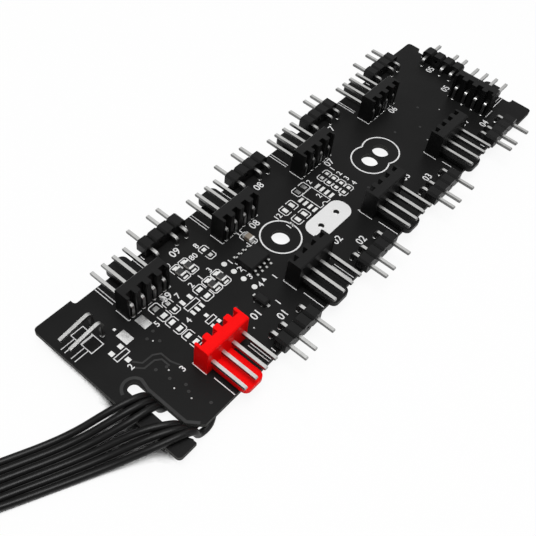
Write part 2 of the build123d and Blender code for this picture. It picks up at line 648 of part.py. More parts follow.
ring_low = WIRE_PITCH * math.sin(math.radians(ROLLED))
start_way = helix % 0
start_up = coil_out.cross(start_way)
start_up = start_up if start_up.Z > 0 else -start_up
end_out = (coil_end - coil_plane.origin)
end_out = (end_out - coil_normal * end_out.dot(coil_normal)).normalized()
end_up = end_out.cross(end_way)
end_up = end_up if end_up.Z > 0 else -end_up

# each wire's plug, its place across the plug, the plug's pitch and height, the runs out of the coil
# and into the plug, and the share of the side way that is made half way there
power_height = POWER_SIZE[1] / 2
fan_height = FAN_PLUG_SIZE[1] / 2
plug_ends = (
    (power_back, -1, POWER_PITCH, power_height, 5.5, 6.0, 0.4),
    (power_back, -2, POWER_PITCH, power_height, 5.0, 6.0, 0.4),
    (power_back, 0, POWER_PITCH, power_height, 5.5, 6.0, 0.4),
    (power_back, 1, POWER_PITCH, power_height, 5.5, 6.0, 0.4),
    (fan_back, 0.5, PIN_PITCH, fan_height, 5.5, 7.0, 0.4),
    (fan_back, -0.5, PIN_PITCH, fan_height, 6.2, 7.0, 0.3),
)
TAIL_SWAY = 0.3             # the tails bend a little outward as they clear the coil
TAIL_DROP = 0.46            # share of the fall made half way


def tube(points):
    """Points, and the radius that each corner has room for."""
    radii = []
    for a, b, c in zip(points, points[1:], points[2:]):
        turn = (b - a).get_angle(c - b)
        shorter = min((b - a).length, (c - b).length)
        radii.append(0.45 * shorter / math.tan(math.radians(turn / 2)))
    return radii


for place in range(6):
    slot_y = wire_slot_y[place]
    over_z = board_top + WIRE_OVER
    under_z = board_bottom - WIRE_UNDER
    climb_x = climb_at(slot_y)
    to_coil = [
        Vector(climb_x + STRIP_RUN, slot_y, under_z),
        Vector(climb_x + WIRE_SLANT, slot_y, under_z),
        Vector(climb_x - WIRE_SLANT, slot_y, over_z),
        Vector(near_x - WIRE_EDGE_OUT, right_edge + WIRE_EDGE_Y[place], over_z),
        Vector(near_x - WIRE_LAND_OUT, right_edge + WIRE_LAND_Y[place], WIRE_REST),
    ]
    across, rise = curl(place, 0)
    to_coil.append(lead_mid + lead_side * across + Vector(0, 0, WIRE_REST))
    for step, turn, lift in CURL_STEPS:
        across, rise = curl(place, turn)
        lifted = Vector(0, 0, WIRE_REST + rise + lift)
        to_coil.append(lead_mid + lead_way * step + lead_side * across + lifted)
    across, rise = curl(place, ROLLED)
    meet = coil_start + coil_out * across + start_up * (rise - ring_low)
    to_coil.append(meet - start_way * (LEAD_RUN - ROLLED_AT))
    to_coil.append(meet)

    back, way, pitch, height, run_out, run_in, drift = plug_ends[place]
    leave = coil_end + end_out * across + end_up * (rise - ring_low)
    enter = back.from_local_coords(Vector(way * pitch, height, 0))
    level = enter + Vector(run_in, 0, 0)
    straight = leave + end_way * run_out
    out_of = leave + end_way * 2 * run_out + end_out * TAIL_SWAY
    half_way = Vector((out_of.X + level.X) / 2, out_of.Y + (level.Y - out_of.Y) * drift,
                      out_of.Z + (level.Z - out_of.Z) * TAIL_DROP)
    to_plug = [leave, straight, out_of, half_way, level, enter]

    with BuildPart() as wire:
        for points in (to_coil, to_plug):
            radii = tube(points)
            print(f"wire_{place + 1} radii", " ".join(f"{radius:.1f}" for radius in radii))
            with BuildLine() as path:
                FilletPolyline(*points, radius=radii)
            with BuildSketch(Plane(origin=points[0], z_dir=points[1] - points[0])):
                Circle(WIRE_D / 2)
            sweep(path=path.line)
    wire.part.label = f"wire_{place + 1}"
    export_step(wire.part, f"parts/wire_{place + 1}.step")
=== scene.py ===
# %% [markdown]
# # A fan and light hub for a computer case
# The real thing is a bare black circuit board, about as long as a hand. Nine four-pin headers for fans
# and nine three-pin headers for light strips stand along its edges, and a flat lead of six wires comes
# up through a slot at one end. The solid shapes are already made and measured, so they are loaded as a
# fixed frame. Everything below either paints those shapes or adds what is too thin to be a solid, such
# as ink, tinned pads and solder.

# %% Load the solid shapes
import math

import bmesh
import bpy
from mathutils import Matrix, Vector


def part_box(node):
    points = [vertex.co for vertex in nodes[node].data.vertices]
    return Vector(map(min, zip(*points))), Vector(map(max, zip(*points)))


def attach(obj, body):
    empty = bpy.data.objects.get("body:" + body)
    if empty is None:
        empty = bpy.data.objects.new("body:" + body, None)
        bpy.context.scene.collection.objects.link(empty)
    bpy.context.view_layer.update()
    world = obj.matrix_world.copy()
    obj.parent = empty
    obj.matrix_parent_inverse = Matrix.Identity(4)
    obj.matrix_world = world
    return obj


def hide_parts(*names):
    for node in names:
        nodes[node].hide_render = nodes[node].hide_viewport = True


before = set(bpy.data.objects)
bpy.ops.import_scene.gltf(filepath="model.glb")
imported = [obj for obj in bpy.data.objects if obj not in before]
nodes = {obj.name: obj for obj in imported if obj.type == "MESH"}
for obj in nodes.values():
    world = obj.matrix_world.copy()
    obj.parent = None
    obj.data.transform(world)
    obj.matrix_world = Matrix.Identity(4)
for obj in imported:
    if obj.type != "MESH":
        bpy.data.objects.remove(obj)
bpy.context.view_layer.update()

# %% [markdown]
# ## Two ways to say where something is
# The board was measured from its own middle, in millimetres, with its upper face at height zero. Blender
# works in metres, in the frame of the whole part. One small function turns the first into the second, so
# that each place below can be written in the plain millimetres that a board maker would use.

# %% Places on the board
MM = 0.001
BOARD_MID_X = -1.375
BOARD_TOP = 3.0
BOARD_THICK = 1.0
NEAR_END = -58.25
FAR_END = 58.25
LONG_EDGE = 17.1


def on_board(x, y, z=0.0):
    """A place in millimetres from the middle of the board's upper face, in metres of the part."""
    return Vector(((x + BOARD_MID_X) * MM, y * MM, (z + BOARD_TOP) * MM))


print("board runs from", on_board(NEAR_END, 0), "to", on_board(FAR_END, 0))

# %% [markdown]
# ## The camera
# The photograph was taken from above the near end, on a fairly long lens. Its place was worked out from
# the corners and pins of the board, so the camera gets those numbers as they are: where it stands, the
# three directions it sees as right, up and back, the focal length, and a small shift because the picture
# was cropped off centre. Depth of field stays off, as in the photograph.

# %% Camera
CAMERA_PLACE = Vector((-94.55, -49.40, 112.84)) * MM
SEES_RIGHT = Vector((0.64477, -0.75878, 0.09233))
SEES_UP = Vector((0.56767, 0.55623, 0.60692))
SEES_BACK = Vector((-0.51188, -0.33891, 0.78938))


def put(name, data):
    """An object with this data, put into the scene."""
    thing = bpy.data.objects.new(name, data)
    bpy.context.scene.collection.objects.link(thing)
    return thing


camera_data = bpy.data.cameras.new("camera")
camera_data.lens = 50.775
camera_data.sensor_width = 36.0
camera_data.sensor_fit = "HORIZONTAL"
camera_data.shift_x = 0.0166
camera_data.shift_y = 0.0055
camera_data.clip_start = 0.005
camera_data.clip_end = 20.0
camera = put("camera", camera_data)
facing = Matrix((SEES_RIGHT, SEES_UP, SEES_BACK)).transposed().to_4x4()
camera.matrix_world = Matrix.Translation(CAMERA_PLACE) @ facing
bpy.context.scene.camera = camera
print("camera stands", round(CAMERA_PLACE.length, 3), "m from the part's origin")

# %% [markdown]
# ## Sums that write themselves
# A finish is a net of nodes, and most of those nodes are plain arithmetic. It is easier to read
# `1 - rub * 0.3` than three boxes and their links. So one small class holds a socket and answers to the
# usual signs by adding a Math node for each. Colours don't go through it, because a Math node would turn
# them grey.

# %% A socket that can be added and multiplied


class Amount:
    """A socket with one number in it. Each sign between two of them adds a Math node."""

    def __init__(self, tree, socket):
        self.tree = tree
        self.socket = socket

    def sum(self, operation, first, second):
        """A Math node, with numbers or other sockets going into it."""
        node = self.tree.nodes.new("ShaderNodeMath")
        node.operation = operation
        for slot, value in zip(node.inputs, (first, second)):
            if isinstance(value, Amount):
                self.tree.links.new(value.socket, slot)
            else:
                slot.default_value = value
        return Amount(self.tree, node.outputs[0])

    def __add__(self, other):
        return self.sum("ADD", self, other)

    def __radd__(self, other):
        return self.sum("ADD", other, self)

    def __sub__(self, other):
        return self.sum("SUBTRACT", self, other)

    def __rsub__(self, other):
        return self.sum("SUBTRACT", other, self)

    def __mul__(self, other):
        return self.sum("MULTIPLY", self, other)

    def __rmul__(self, other):
        return self.sum("MULTIPLY", other, self)

    def __gt__(self, other):
        return self.sum("GREATER_THAN", self, other)

    def __lt__(self, other):
        return self.sum("LESS_THAN", self, other)

    def __abs__(self):
        return self.sum("ABSOLUTE", self, 0.0)


print("amounts answer to + - * > < and abs")

# %% [markdown]
# ## Any other node
# Nodes could be made one by one, each with its own links, but then the recipe is lost among them. One
# method adds any node by its type, its settings and what goes into its sockets. The finishes use it, and
# so does the room at the end.

# %% A net of nodes


class NodeNet:
    """A net of nodes under construction."""

    def __init__(self, tree):
        self.tree = tree

    def node(self, kind, settings, sockets, output=0):
        """Any node: its type, its settings, what goes into its sockets, and which output is wanted."""
        node = self.tree.nodes.new(kind)
        for setting, value in settings.items():
            setattr(node, setting, value)
        for socket, value in sockets.items():
            if isinstance(value, Amount):
                self.tree.links.new(value.socket, node.inputs[socket])
            else:
                node.inputs[socket].default_value = value
        return Amount(self.tree, node.outputs[output])

    def ray(self, kind):
        """One for a ray of this kind, which is Camera, Glossy or Transmission."""
        return self.node("ShaderNodeLightPath", {}, {}, f"Is {kind} Ray")


print("one method makes every node")

# %% [markdown]
# ## A finish
# Every material here is one shader with a few things that change over its surface. Pictures could be
# wrapped round the shapes instead, but clouds of noise have no seams and stay sharp close up. The class
# makes the material and sets the numbers that are the same all over on the shader itself.

# %% Finishes
LEVEL = 0.7


class Finish(NodeNet):
    """A material under construction."""

    def __init__(self, name, constants):
        self.material = bpy.data.materials.new(name)
        self.material.use_nodes = True
        super().__init__(self.material.node_tree)
        self.shader = self.tree.nodes["Principled BSDF"]
        for socket, value in constants.items():
            self.shader.inputs[socket].default_value = value

    def place(self):
        """Where a point of the surface is, in metres of the part."""
        return self.node("ShaderNodeTexCoord", {}, {}, "Object")

    def stretched(self, across, along, upward):
        """The same place, scaled by a different amount each way."""
        return self.node("ShaderNodeMapping", {}, {"Vector": self.place(), "Scale": (across, along, upward)})

    def cloud(self, size, detail=3.0, where=None):
        """Soft random patches of about this size in millimetres."""
        sockets = {"Vector": where or self.place(), "Scale": 1.0 / (size * MM), "Detail": detail}
        return self.node("ShaderNodeTexNoise", {}, sockets, 0)

    def facing_up(self):
        """One on faces that look up or down, and nothing on the cut sides."""
        normal = self.node("ShaderNodeNewGeometry", {}, {}, "Normal")
        upward = self.node("ShaderNodeSeparateXYZ", {}, {"Vector": normal}, "Z")
        return abs(upward) > LEVEL

    def between(self, share, low, high):
        """A colour between two others."""
        sockets = {0: share, 6: low, 7: high}
        return self.node("ShaderNodeMix", {"data_type": "RGBA"}, sockets, 2)

    def feed(self, socket, value):
        """Let a value or a colour drive one of the shader's sockets."""
        self.tree.links.new(value.socket, self.shader.inputs[socket])

    def dents(self, height, depth):
        """Small unevenness, this deep in millimetres."""
        bump = self.node("ShaderNodeBump", {}, {"Height": height, "Distance": depth * MM, "Strength": 1.0})
        self.feed("Normal", bump)


def grey(level, blue=0.0):
    """A grey, with a little more or less blue in it."""
    return (level, level, level + blue, 1.0)


print("finishes are ready to be mixed")

# %% [markdown]
# ## The board's black lacquer
# A circuit board is glass cloth in resin, lacquered black on both faces. The lacquer is thin, so where
# copper lies under it the black is a touch lighter. The sides were cut by a router and show the paler
# cloth in layers. One material can do both: it asks which way the surface looks, and uses the lacquer
# on the faces and the layered cloth on the cuts.

# %% Lacquer on the board
lacquer = Finish("board_lacquer", {"IOR": 1.5, "Specular IOR Level": 0.10})
face = lacquer.facing_up()
copper_under = lacquer.cloud(7.0, 2.0)
speck = lacquer.cloud(0.35, 4.0)
face_colour = lacquer.between(copper_under * 0.8 + speck * 0.2, grey(0.0050), grey(0.0105))
layer = lacquer.cloud(0.5, 3.0, lacquer.stretched(0.25, 0.25, 3.0))
cut_colour = lacquer.between(layer, grey(0.030), grey(0.120, -0.006))
lacquer.feed("Base Color", lacquer.between(face, cut_colour, face_colour))
lacquer.feed("Roughness", 0.80 - face * 0.42 + speck * 0.10)
lacquer.dents(speck * 0.6 + copper_under * 0.4, 0.012)
print("lacquer has", len(lacquer.tree.nodes), "nodes")

# %% [markdown]
# A trace of copper lifts the lacquer and stretches it thin. That could be a mask in the same material, but
# the traces are pieces of their own, so they get a paler and shinier lacquer of their own.

# %% Lacquer over copper
over_copper = Finish("lacquer_over_copper", {"IOR": 1.5, "Specular IOR Level": 0.22})
thin_spot = over_copper.cloud(1.1)
over_copper.feed("Base Color", over_copper.between(thin_spot, grey(0.014), grey(0.034)))
over_copper.feed("Roughness", 0.36 + thin_spot * 0.14)
over_copper.dents(thin_spot, 0.010)
print("over copper it has", len(over_copper.tree.nodes), "nodes")

# %% [markdown]
# ## Moulded plastics
# The headers, the plugs and the tie are moulded. Moulded nylon has a very fine grain from the tool and
# is never quite evenly shiny. Three materials could be mixed by hand, but one recipe serves them all: only
# the colours, the roughness and the gloss change.

# %% Moulded black and red


def moulded(name, dark, light, rough, gloss):
    """A moulded plastic between two colours."""
    plastic = Finish(name, {"IOR": 1.5, "Specular IOR Level": gloss})
    flow = plastic.cloud(2.2, 2.0)
    grain = plastic.cloud(0.12)
    plastic.feed("Base Color", plastic.between(flow * 0.7 + grain * 0.3, dark, light))
    plastic.feed("Roughness", rough + grain * 0.12 + flow * 0.10)
    plastic.dents(grain, 0.006)
    return plastic


black_nylon = moulded("black_nylon", grey(0.0045), grey(0.0090), 0.30, 0.16)
red_nylon = moulded("red_nylon", (0.80, 0.0010, 0.0015, 1.0), (0.94, 0.0025, 0.0030, 1.0), 0.30, 0.07)
tie_nylon = moulded("tie_nylon", grey(0.007), grey(0.013), 0.36, 0.25)
print("plastics:", black_nylon.material.name, red_nylon.material.name, tie_nylon.material.name)

# %% [markdown]
# ## Tin and solder
# The pins are brass wire with a bright tin plating, drawn through a die, so they are finely marked. The
# finish
# asks which way the surface looks: faces that look up or down get the lit tin colour, and the sides a much
# darker copy of it, a painted shade, and a little more roughness. Solder is the same colour but has flowed:
# it is smoother and a little lumpy.

# %% Bright metals
tin = Finish("tinned_pin", {"Metallic": 1.0})
drawn = tin.cloud(0.25)
smear = tin.cloud(1.6, 2.0)
level_face = tin.facing_up()
# the level faces get the lit tin colour, and the sides a darker copy of it as painted shade
lit_top_tin = tin.between(smear, grey(0.48, -0.010), grey(0.66, -0.010))
painted_shade_tin = tin.between(smear, grey(0.13), grey(0.26, -0.005))
tin.feed("Base Color", tin.between(level_face, painted_shade_tin, lit_top_tin))
tin.feed("Roughness", 0.34 - level_face * 0.06 + drawn * 0.12)
tin.dents(drawn, 0.0015)

solder = Finish("solder", {"Metallic": 1.0})
flowed = solder.cloud(1.1, 1.0)
solder.feed("Base Color", solder.between(flowed, grey(0.74, -0.010), grey(0.94, -0.010)))
solder.feed("Roughness", 0.20 + flowed * 0.16)
solder.dents(flowed, 0.022)
print("metals:", tin.material.name, solder.material.name)

# %% [markdown]
# ## The small parts
# The chip is moulded in a dull filled resin. Resistors are white ceramic with a black glass top, and the
# capacitor is tan ceramic all through. A resistor could have two materials, one for each kind of face. Asking
# the same question as on the board needs only one: black where it looks up, white where it looks sideways.

# %% Chip resin and ceramics
resin = Finish("chip_resin", {"IOR": 1.5, "Specular IOR Level": 0.15})
filler = resin.cloud(0.10, 4.0)
resin.feed("Base Color", resin.between(filler, grey(0.0060), grey(0.0130)))
resin.feed("Roughness", 0.48 + filler * 0.20)
resin.dents(filler, 0.010)

ceramic = Finish("resistor_ceramic", {"IOR": 1.5})
glass_top = ceramic.facing_up()
chalk = ceramic.cloud(0.2)
white_side = ceramic.between(chalk, (0.55, 0.54, 0.50, 1.0), (0.72, 0.71, 0.68, 1.0))
black_top = ceramic.between(chalk, grey(0.010), grey(0.018))
ceramic.feed("Base Color", ceramic.between(glass_top, white_side, black_top))
ceramic.feed("Roughness", 0.55 - glass_top * 0.30 + chalk * 0.08)
ceramic.dents(chalk, 0.006)

tan = Finish("capacitor_ceramic", {"IOR": 1.5})
baked = tan.cloud(0.25)
tan.feed("Base Color", tan.between(baked, (0.17, 0.140, 0.108, 1.0), (0.26, 0.220, 0.175, 1.0)))
tan.feed("Roughness", 0.38 + baked * 0.12)
tan.dents(baked, 0.006)
print("small parts:", resin.material.name, ceramic.material.name, tan.material.name)

# %% [markdown]
# ## The wires' black cover
# The six wires have a soft vinyl cover. It is glossy where it is new and duller where fingers and the
# bag have rubbed it, with a faint ripple from the strands inside. The ripple could be modelled, but it is
# so shallow that a bump is enough. The contacts in the power plug are gilded, and wiped bright by use.

# %% Vinyl and gilding
vinyl = Finish("wire_vinyl", {"IOR": 1.52, "Specular IOR Level": 0.20})
rubbed = vinyl.cloud(5.0)
pores = vinyl.cloud(0.30)
vinyl.feed("Base Color", vinyl.between(rubbed, grey(0.0045), grey(0.0095)))
vinyl.feed("Roughness", 0.24 + rubbed * 0.16 + pores * 0.06)
vinyl.dents(pores * 0.5 + rubbed * 0.5, 0.020)

contact = Finish("contact_gold", {"Metallic": 1.0})
wiped = contact.cloud(0.6)
contact.feed("Base Color", contact.between(wiped, (0.72, 0.50, 0.20, 1.0), (0.88, 0.66, 0.30, 1.0)))
contact.feed("Roughness", 0.24 + wiped * 0.12)
contact.dents(wiped, 0.004)
print("lead:", vinyl.material.name, contact.material.name)

# %% [markdown]
# ## Painting the solid shapes
# The shapes that were loaded already have the right form. Each could be painted on a line of its own, but
# most of them repeat. A short table names the special ones, such as the red header. Of the rest, pins are
# tin, wires are vinyl, and everything else is black nylon.

# %% Finishes on the loaded shapes
by_name = {
    "circuit_board": lacquer,
    "fan_header_1": red_nylon,
    "controller_chip": resin,
    "controller_chip_leads": tin,
    "diode": resin,
    "diode_leads": tin,
    "resistors": ceramic,
    "capacitor": tan,
    "chip_ends": solder,
    "wire_cores": tin,
    "cable_tie": tie_nylon,
    "power_contacts": contact,
}
for name, shape in nodes.items():
    finish = by_name.get(name)
    if finish is None and name.endswith("_pins"):
        finish = tin
    if finish is None and name.startswith("wire"):
        finish = vinyl
    if finish is None:
        finish = black_nylon
    shape.data.materials.clear()
    shape.data.materials.append(finish.material)
print("painted", len(nodes), "shapes")

# %% [markdown]
# ## The lead
# Each wire starts under the board, folds up through the slot, lies over the board's end, drops to the
# table and runs beside the others in a flat ribbon. Out of the photograph's view the ribbon rolls up into
# a round bundle, makes two turns of a coil, and parts again to two plugs. A wire is one smooth spline,
# so that it bends like wire and not like pipe. Its points are the same ones that its solid follows, with
# the wires a little closer together where they come out of the slot. The outermost wire slants in below
# the board, because its end is soldered further from the edge than the slot is.

# %% The ribbon's places
WIRES = 6
WIRE_D = 1.3
WIRE_PITCH = 1.38

# the wires' places across the board: under it, out of the slot, at its end, and on the table
SLOT_Y = (-5.2, -6.9, -8.7, -12.5, -14.25, -16.1)
OVER_Y = (-5.6, -6.93, -8.26, -12.95, -14.27, -15.6)
EDGE_Y = (-3.84, -5.53, -7.36, -9.45, -11.35, -13.35)
LAND_Y = (-0.89, -2.44, -3.99, -5.55, -7.15, -8.8)

RIBBON_MID = Vector((-79.72, 0.45, 0.0))
RIBBON_HEADING = 157.0
RIBBON_RUN = 33.0
REST = 0.67
ROLLED = 60.0
ROLLED_AT = 28.0

# run along the ribbon, turn of each wire from the last in degrees, and lift off the table
ROLL = ((7.5, 15.0, 0.04), (15.0, 30.0, 0.13), (22.5, 45.0, 0.28))


def compass(degrees):
    """A level direction."""
    return Vector((math.cos(math.radians(degrees)), math.sin(math.radians(degrees)), 0.0))


def up(height):
    """So far straight up."""
    return Vector((0.0, 0.0, height))


def curl(place, turned):
    """How far across and how high a wire lies when each wire is turned this much from the last."""
    middle = WIRES // 2
    hand = 1 if place < middle else -1
    steps = middle - 1 - place if place < middle else place - middle
    across = WIRE_PITCH / 2
    rise = 0.0
    for step in range(1, steps + 1):
        across += WIRE_PITCH * math.cos(math.radians(turned * step))
        rise += WIRE_PITCH * math.sin(math.radians(turned * step))
    return hand * across, rise


ribbon_way = compass(RIBBON_HEADING)
ribbon_side = compass(RIBBON_HEADING - 90.0)
print("the ribbon is", round(WIRES * WIRE_PITCH, 2), "mm wide")

# %% [markdown]
# The coil leans by the few degrees that one turn needs to lie on the last. Six wires round a middle that
# stays empty make a bundle of seven places, like a rope. They also twist once in each turn, as wires do
# when they are wound by hand, so a wire that starts low is on top half a turn later.

# %% The coil
COIL_R = 19.0
COIL_PITCH = 4.45
COIL_SWEEP = 743.0
COIL_LEAN = math.radians(3.35)
BUNDLE_Z = 2.6
COIL_POINTS = 50
TWISTS = 2
ring_low = WIRE_PITCH * math.sin(math.radians(ROLLED))
coil_start = RIBBON_MID + ribbon_way * RIBBON_RUN + up(BUNDLE_Z)
coil_axis = up(math.cos(COIL_LEAN)) - ribbon_side * math.sin(COIL_LEAN)
coil_out = ribbon_side * math.cos(COIL_LEAN) + up(math.sin(COIL_LEAN))
coil_on = coil_axis.cross(coil_out)
coil_mid = coil_start - coil_out * COIL_R


def coil_at(degrees, radius):
    """A place on the coil's middle line, with the directions out of it, along it and up from it."""
    spot = math.radians(degrees)
    out = coil_out * math.cos(spot) + coil_on * math.sin(spot)
    place = coil_mid + out * radius + coil_axis * (COIL_PITCH * degrees / 360.0)
    way = (coil_on * math.cos(spot) - coil_out * math.sin(spot)) * radius
    way = (way + coil_axis * (COIL_PITCH / math.tau)).normalized()
    above = out.cross(way)
    if above.z < 0:
        above = -above
    return place, out, way, above


def turns_of(across, rise):
    """A wire's points round the coil, a little wide because the spline passes inside its points."""
    step = COIL_SWEEP / COIL_POINTS
    wide = COIL_R / math.cos(math.radians(step / 2))
    began = math.atan2(rise, across)
    points = []
    for count in range(1, COIL_POINTS):
        place, out, _, above = coil_at(step * count, wide)
        spot = began + math.tau * TWISTS * count / COIL_POINTS
        points.append(place + (out * math.cos(spot) + above * math.sin(spot)) * WIRE_PITCH)
    return points


print("the coil is", round(2 * (COIL_R + WIRE_PITCH) + WIRE_D, 1), "mm across outside")

# %% [markdown]
# Four of the wires go to a flat drive-power plug, and two to a small fan plug. After the coil they run
# straight for a little, then sink to the plugs' height and enter them level. Six routes could be typed
# out, but a table of what differs between the wires lets one function make them all.

# %% Ends of the wires
POWER_GAP = 30.0
FAN_GAP = 35.5
FAN_SHIFT = -18.3
POWER_PITCH = 3.81
PIN_PITCH = 2.54
POWER_MID_Z = 3.6
FAN_MID_Z = 2.8
SWAY = 0.3
DROP = 0.46
coil_end, end_out, end_way, end_up = coil_at(COIL_SWEEP, COIL_R)
power_back = Vector((coil_end.x - POWER_GAP, coil_end.y, POWER_MID_Z))
fan_back = Vector((coil_end.x - FAN_GAP, coil_end.y + FAN_SHIFT, FAN_MID_Z))

# plug, place across it, run out of the coil, run into the plug, and share of the way across at half way
ENDS = (
    (power_back, -1 * POWER_PITCH, 5.5, 6.0, 0.4),
    (power_back, -2 * POWER_PITCH, 5.0, 6.0, 0.4),
    (power_back, 0.0, 5.5, 6.0, 0.4),
    (power_back, 1 * POWER_PITCH, 5.5, 6.0, 0.4),
    (fan_back, 0.5 * PIN_PITCH, 5.5, 7.0, 0.4),
    (fan_back, -0.5 * PIN_PITCH, 6.2, 7.0, 0.3),
)
print("the plugs lie", round((power_back - fan_back).length, 1), "mm apart")

# %% [markdown]
# A route is a list of points from under the board to the plug, in the order that the wire takes. The first
# few show most, because there the wires fold up round the slot's edge and spread over the board's end. The
# two outermost climb a little further in than the others.

# %% One wire's route
SLOT_X = -55.775
FURTHER_IN = 0.9
FURTHER_FROM = -13.5
FURTHER_SPAN = 2.5
START_IN = 3.15
FOLD_LOW = 0.55
FOLD_HIGH = 0.15
UNDER_Z = 1.0
OVER_Z = 4.0
EDGE_X = -60.775
LAND_X = -68.125

# the outermost wire's first two points: past the slot, across from its place there, and height
SLANT = ((4.94, 1.0, 1.4), (3.64, 0.05, 1.1))


def wire_route(place):
    """All the points of one wire, in millimetres, from under the board to its plug."""
    slot_y = SLOT_Y[place]
    slot_x = SLOT_X + FURTHER_IN * max(0.0, (FURTHER_FROM - slot_y) / FURTHER_SPAN)
    if place == WIRES - 1:
        points = [Vector((slot_x + past, slot_y + shift, height)) for past, shift, height in SLANT]
    else:
        points = [Vector((slot_x + START_IN, slot_y, UNDER_Z))]
    points += [
        Vector((slot_x + FOLD_LOW, (slot_y + OVER_Y[place]) / 2, UNDER_Z)),
        Vector((slot_x + FOLD_HIGH, OVER_Y[place], OVER_Z)),
        Vector((EDGE_X, EDGE_Y[place], OVER_Z)),
        Vector((LAND_X, LAND_Y[place], REST)),
    ]
    across, _ = curl(place, 0.0)
    points.append(RIBBON_MID + ribbon_side * across + up(REST))
    for step, turned, lift in ROLL:
        across, rise = curl(place, turned)
        points.append(RIBBON_MID + ribbon_way * step + ribbon_side * across + up(REST + rise + lift))
    across, rise = curl(place, ROLLED)
    start, out, way, above = coil_at(0.0, COIL_R)
    meet = start + out * across + above * (rise - ring_low)
    points.append(meet - way * (RIBBON_RUN - ROLLED_AT))
    points.append(meet)
    points.extend(turns_of(across, rise - ring_low))
    back, shift, run_out, run_in, drift = ENDS[place]
    leave = coil_end + end_out * across + end_up * (rise - ring_low)
    enter = back - Vector((0.0, shift, 0.0))
    level = enter + Vector((run_in, 0.0, 0.0))
    out_of = leave + end_way * 2 * run_out + end_out * SWAY
    half_way = (out_of + level) / 2
    half_way.y = out_of.y + (level.y - out_of.y) * drift
    half_way.z = out_of.z + (level.z - out_of.z) * DROP
    points.extend([leave, leave + end_way * run_out, out_of, half_way, level, enter])
    return points


print("a wire has", len(wire_route(0)), "points")

# %% [markdown]
# The points become one spline with a round bevel. Straight tubes with bent joints would follow them just as
# well, but would look like pipe. The spline's order and its held ends are set after its points are added,
# because Blender only keeps them then.


def soft_wire(name, points):
    """One wire as a round, smooth spline."""
    curve = bpy.data.curves.new(name, "CURVE")
    curve.dimensions = "3D"
    curve.bevel_depth = WIRE_D / 2 * MM
    curve.bevel_resolution = 4
    curve.resolution_u = 6
    curve.use_fill_caps = True
    spline = curve.splines.new("NURBS")
    spline.points.add(len(points) - 1)
    for point, place in zip(spline.points, points):
        point.co = (*(place * MM), 1.0)
    spline.order_u = 3
    spline.use_endpoint_u = True
    curve.materials.append(vinyl.material)
    return put(name, curve)


for place in range(WIRES):
    route = wire_route(place)
    piece = soft_wire(f"lead_wire_{place + 1}", route)
    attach(piece, "root")
    stands_for = [f"wire_{place + 1}"]
    if place == 0:
        stands_for.append("wire_coil")
    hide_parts(*stands_for)
    route[0] * MM

# %% [markdown]
# ## Flat things on the board
# Ink, pads and bare copper are only hundredths of a millimetre thick. They could be painted with a
# texture, but then they would blur close up. Here each is a very thin plate that lies on the lacquer.
# Two helpers come first: one gives the points round a circle, and one makes a mesh into a piece that rides
# on the part.

# %% Circles and new pieces


def circle(x, y, radius, steps, begin=0.0, sweep=360.0):
    """Points round a circle, or part of one."""
    count = steps if sweep == 360.0 else steps + 1
    angles = [math.radians(begin + sweep * step / steps) for step in range(count)]
    return [(x + radius * math.cos(angle), y + radius * math.sin(angle)) for angle in angles]


def add_piece(name, mesh, finish):
    """Make a mesh under construction into a piece on the part."""
    bmesh.ops.recalc_face_normals(mesh, faces=mesh.faces)
    data = bpy.data.meshes.new(name)
    mesh.to_mesh(data)
    mesh.free()
    data.materials.append(finish.material)
    piece = put(name, data)
    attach(piece, "root")
    print(name, "has", len(data.polygons), "faces")


print("half a circle in two steps has", len(circle(0.0, 0.0, 1.0, 2, 0.0, 180.0)), "points")

# %% [markdown]
# One small class collects thin plates, so that a hundred of them become a single piece. A plate has a top
# and sides, but nothing below, because it lies on the board.

# %% Thin plates
MITRE_LEAST = 0.4
DOT_STEPS = 14
RING_STEPS = 48


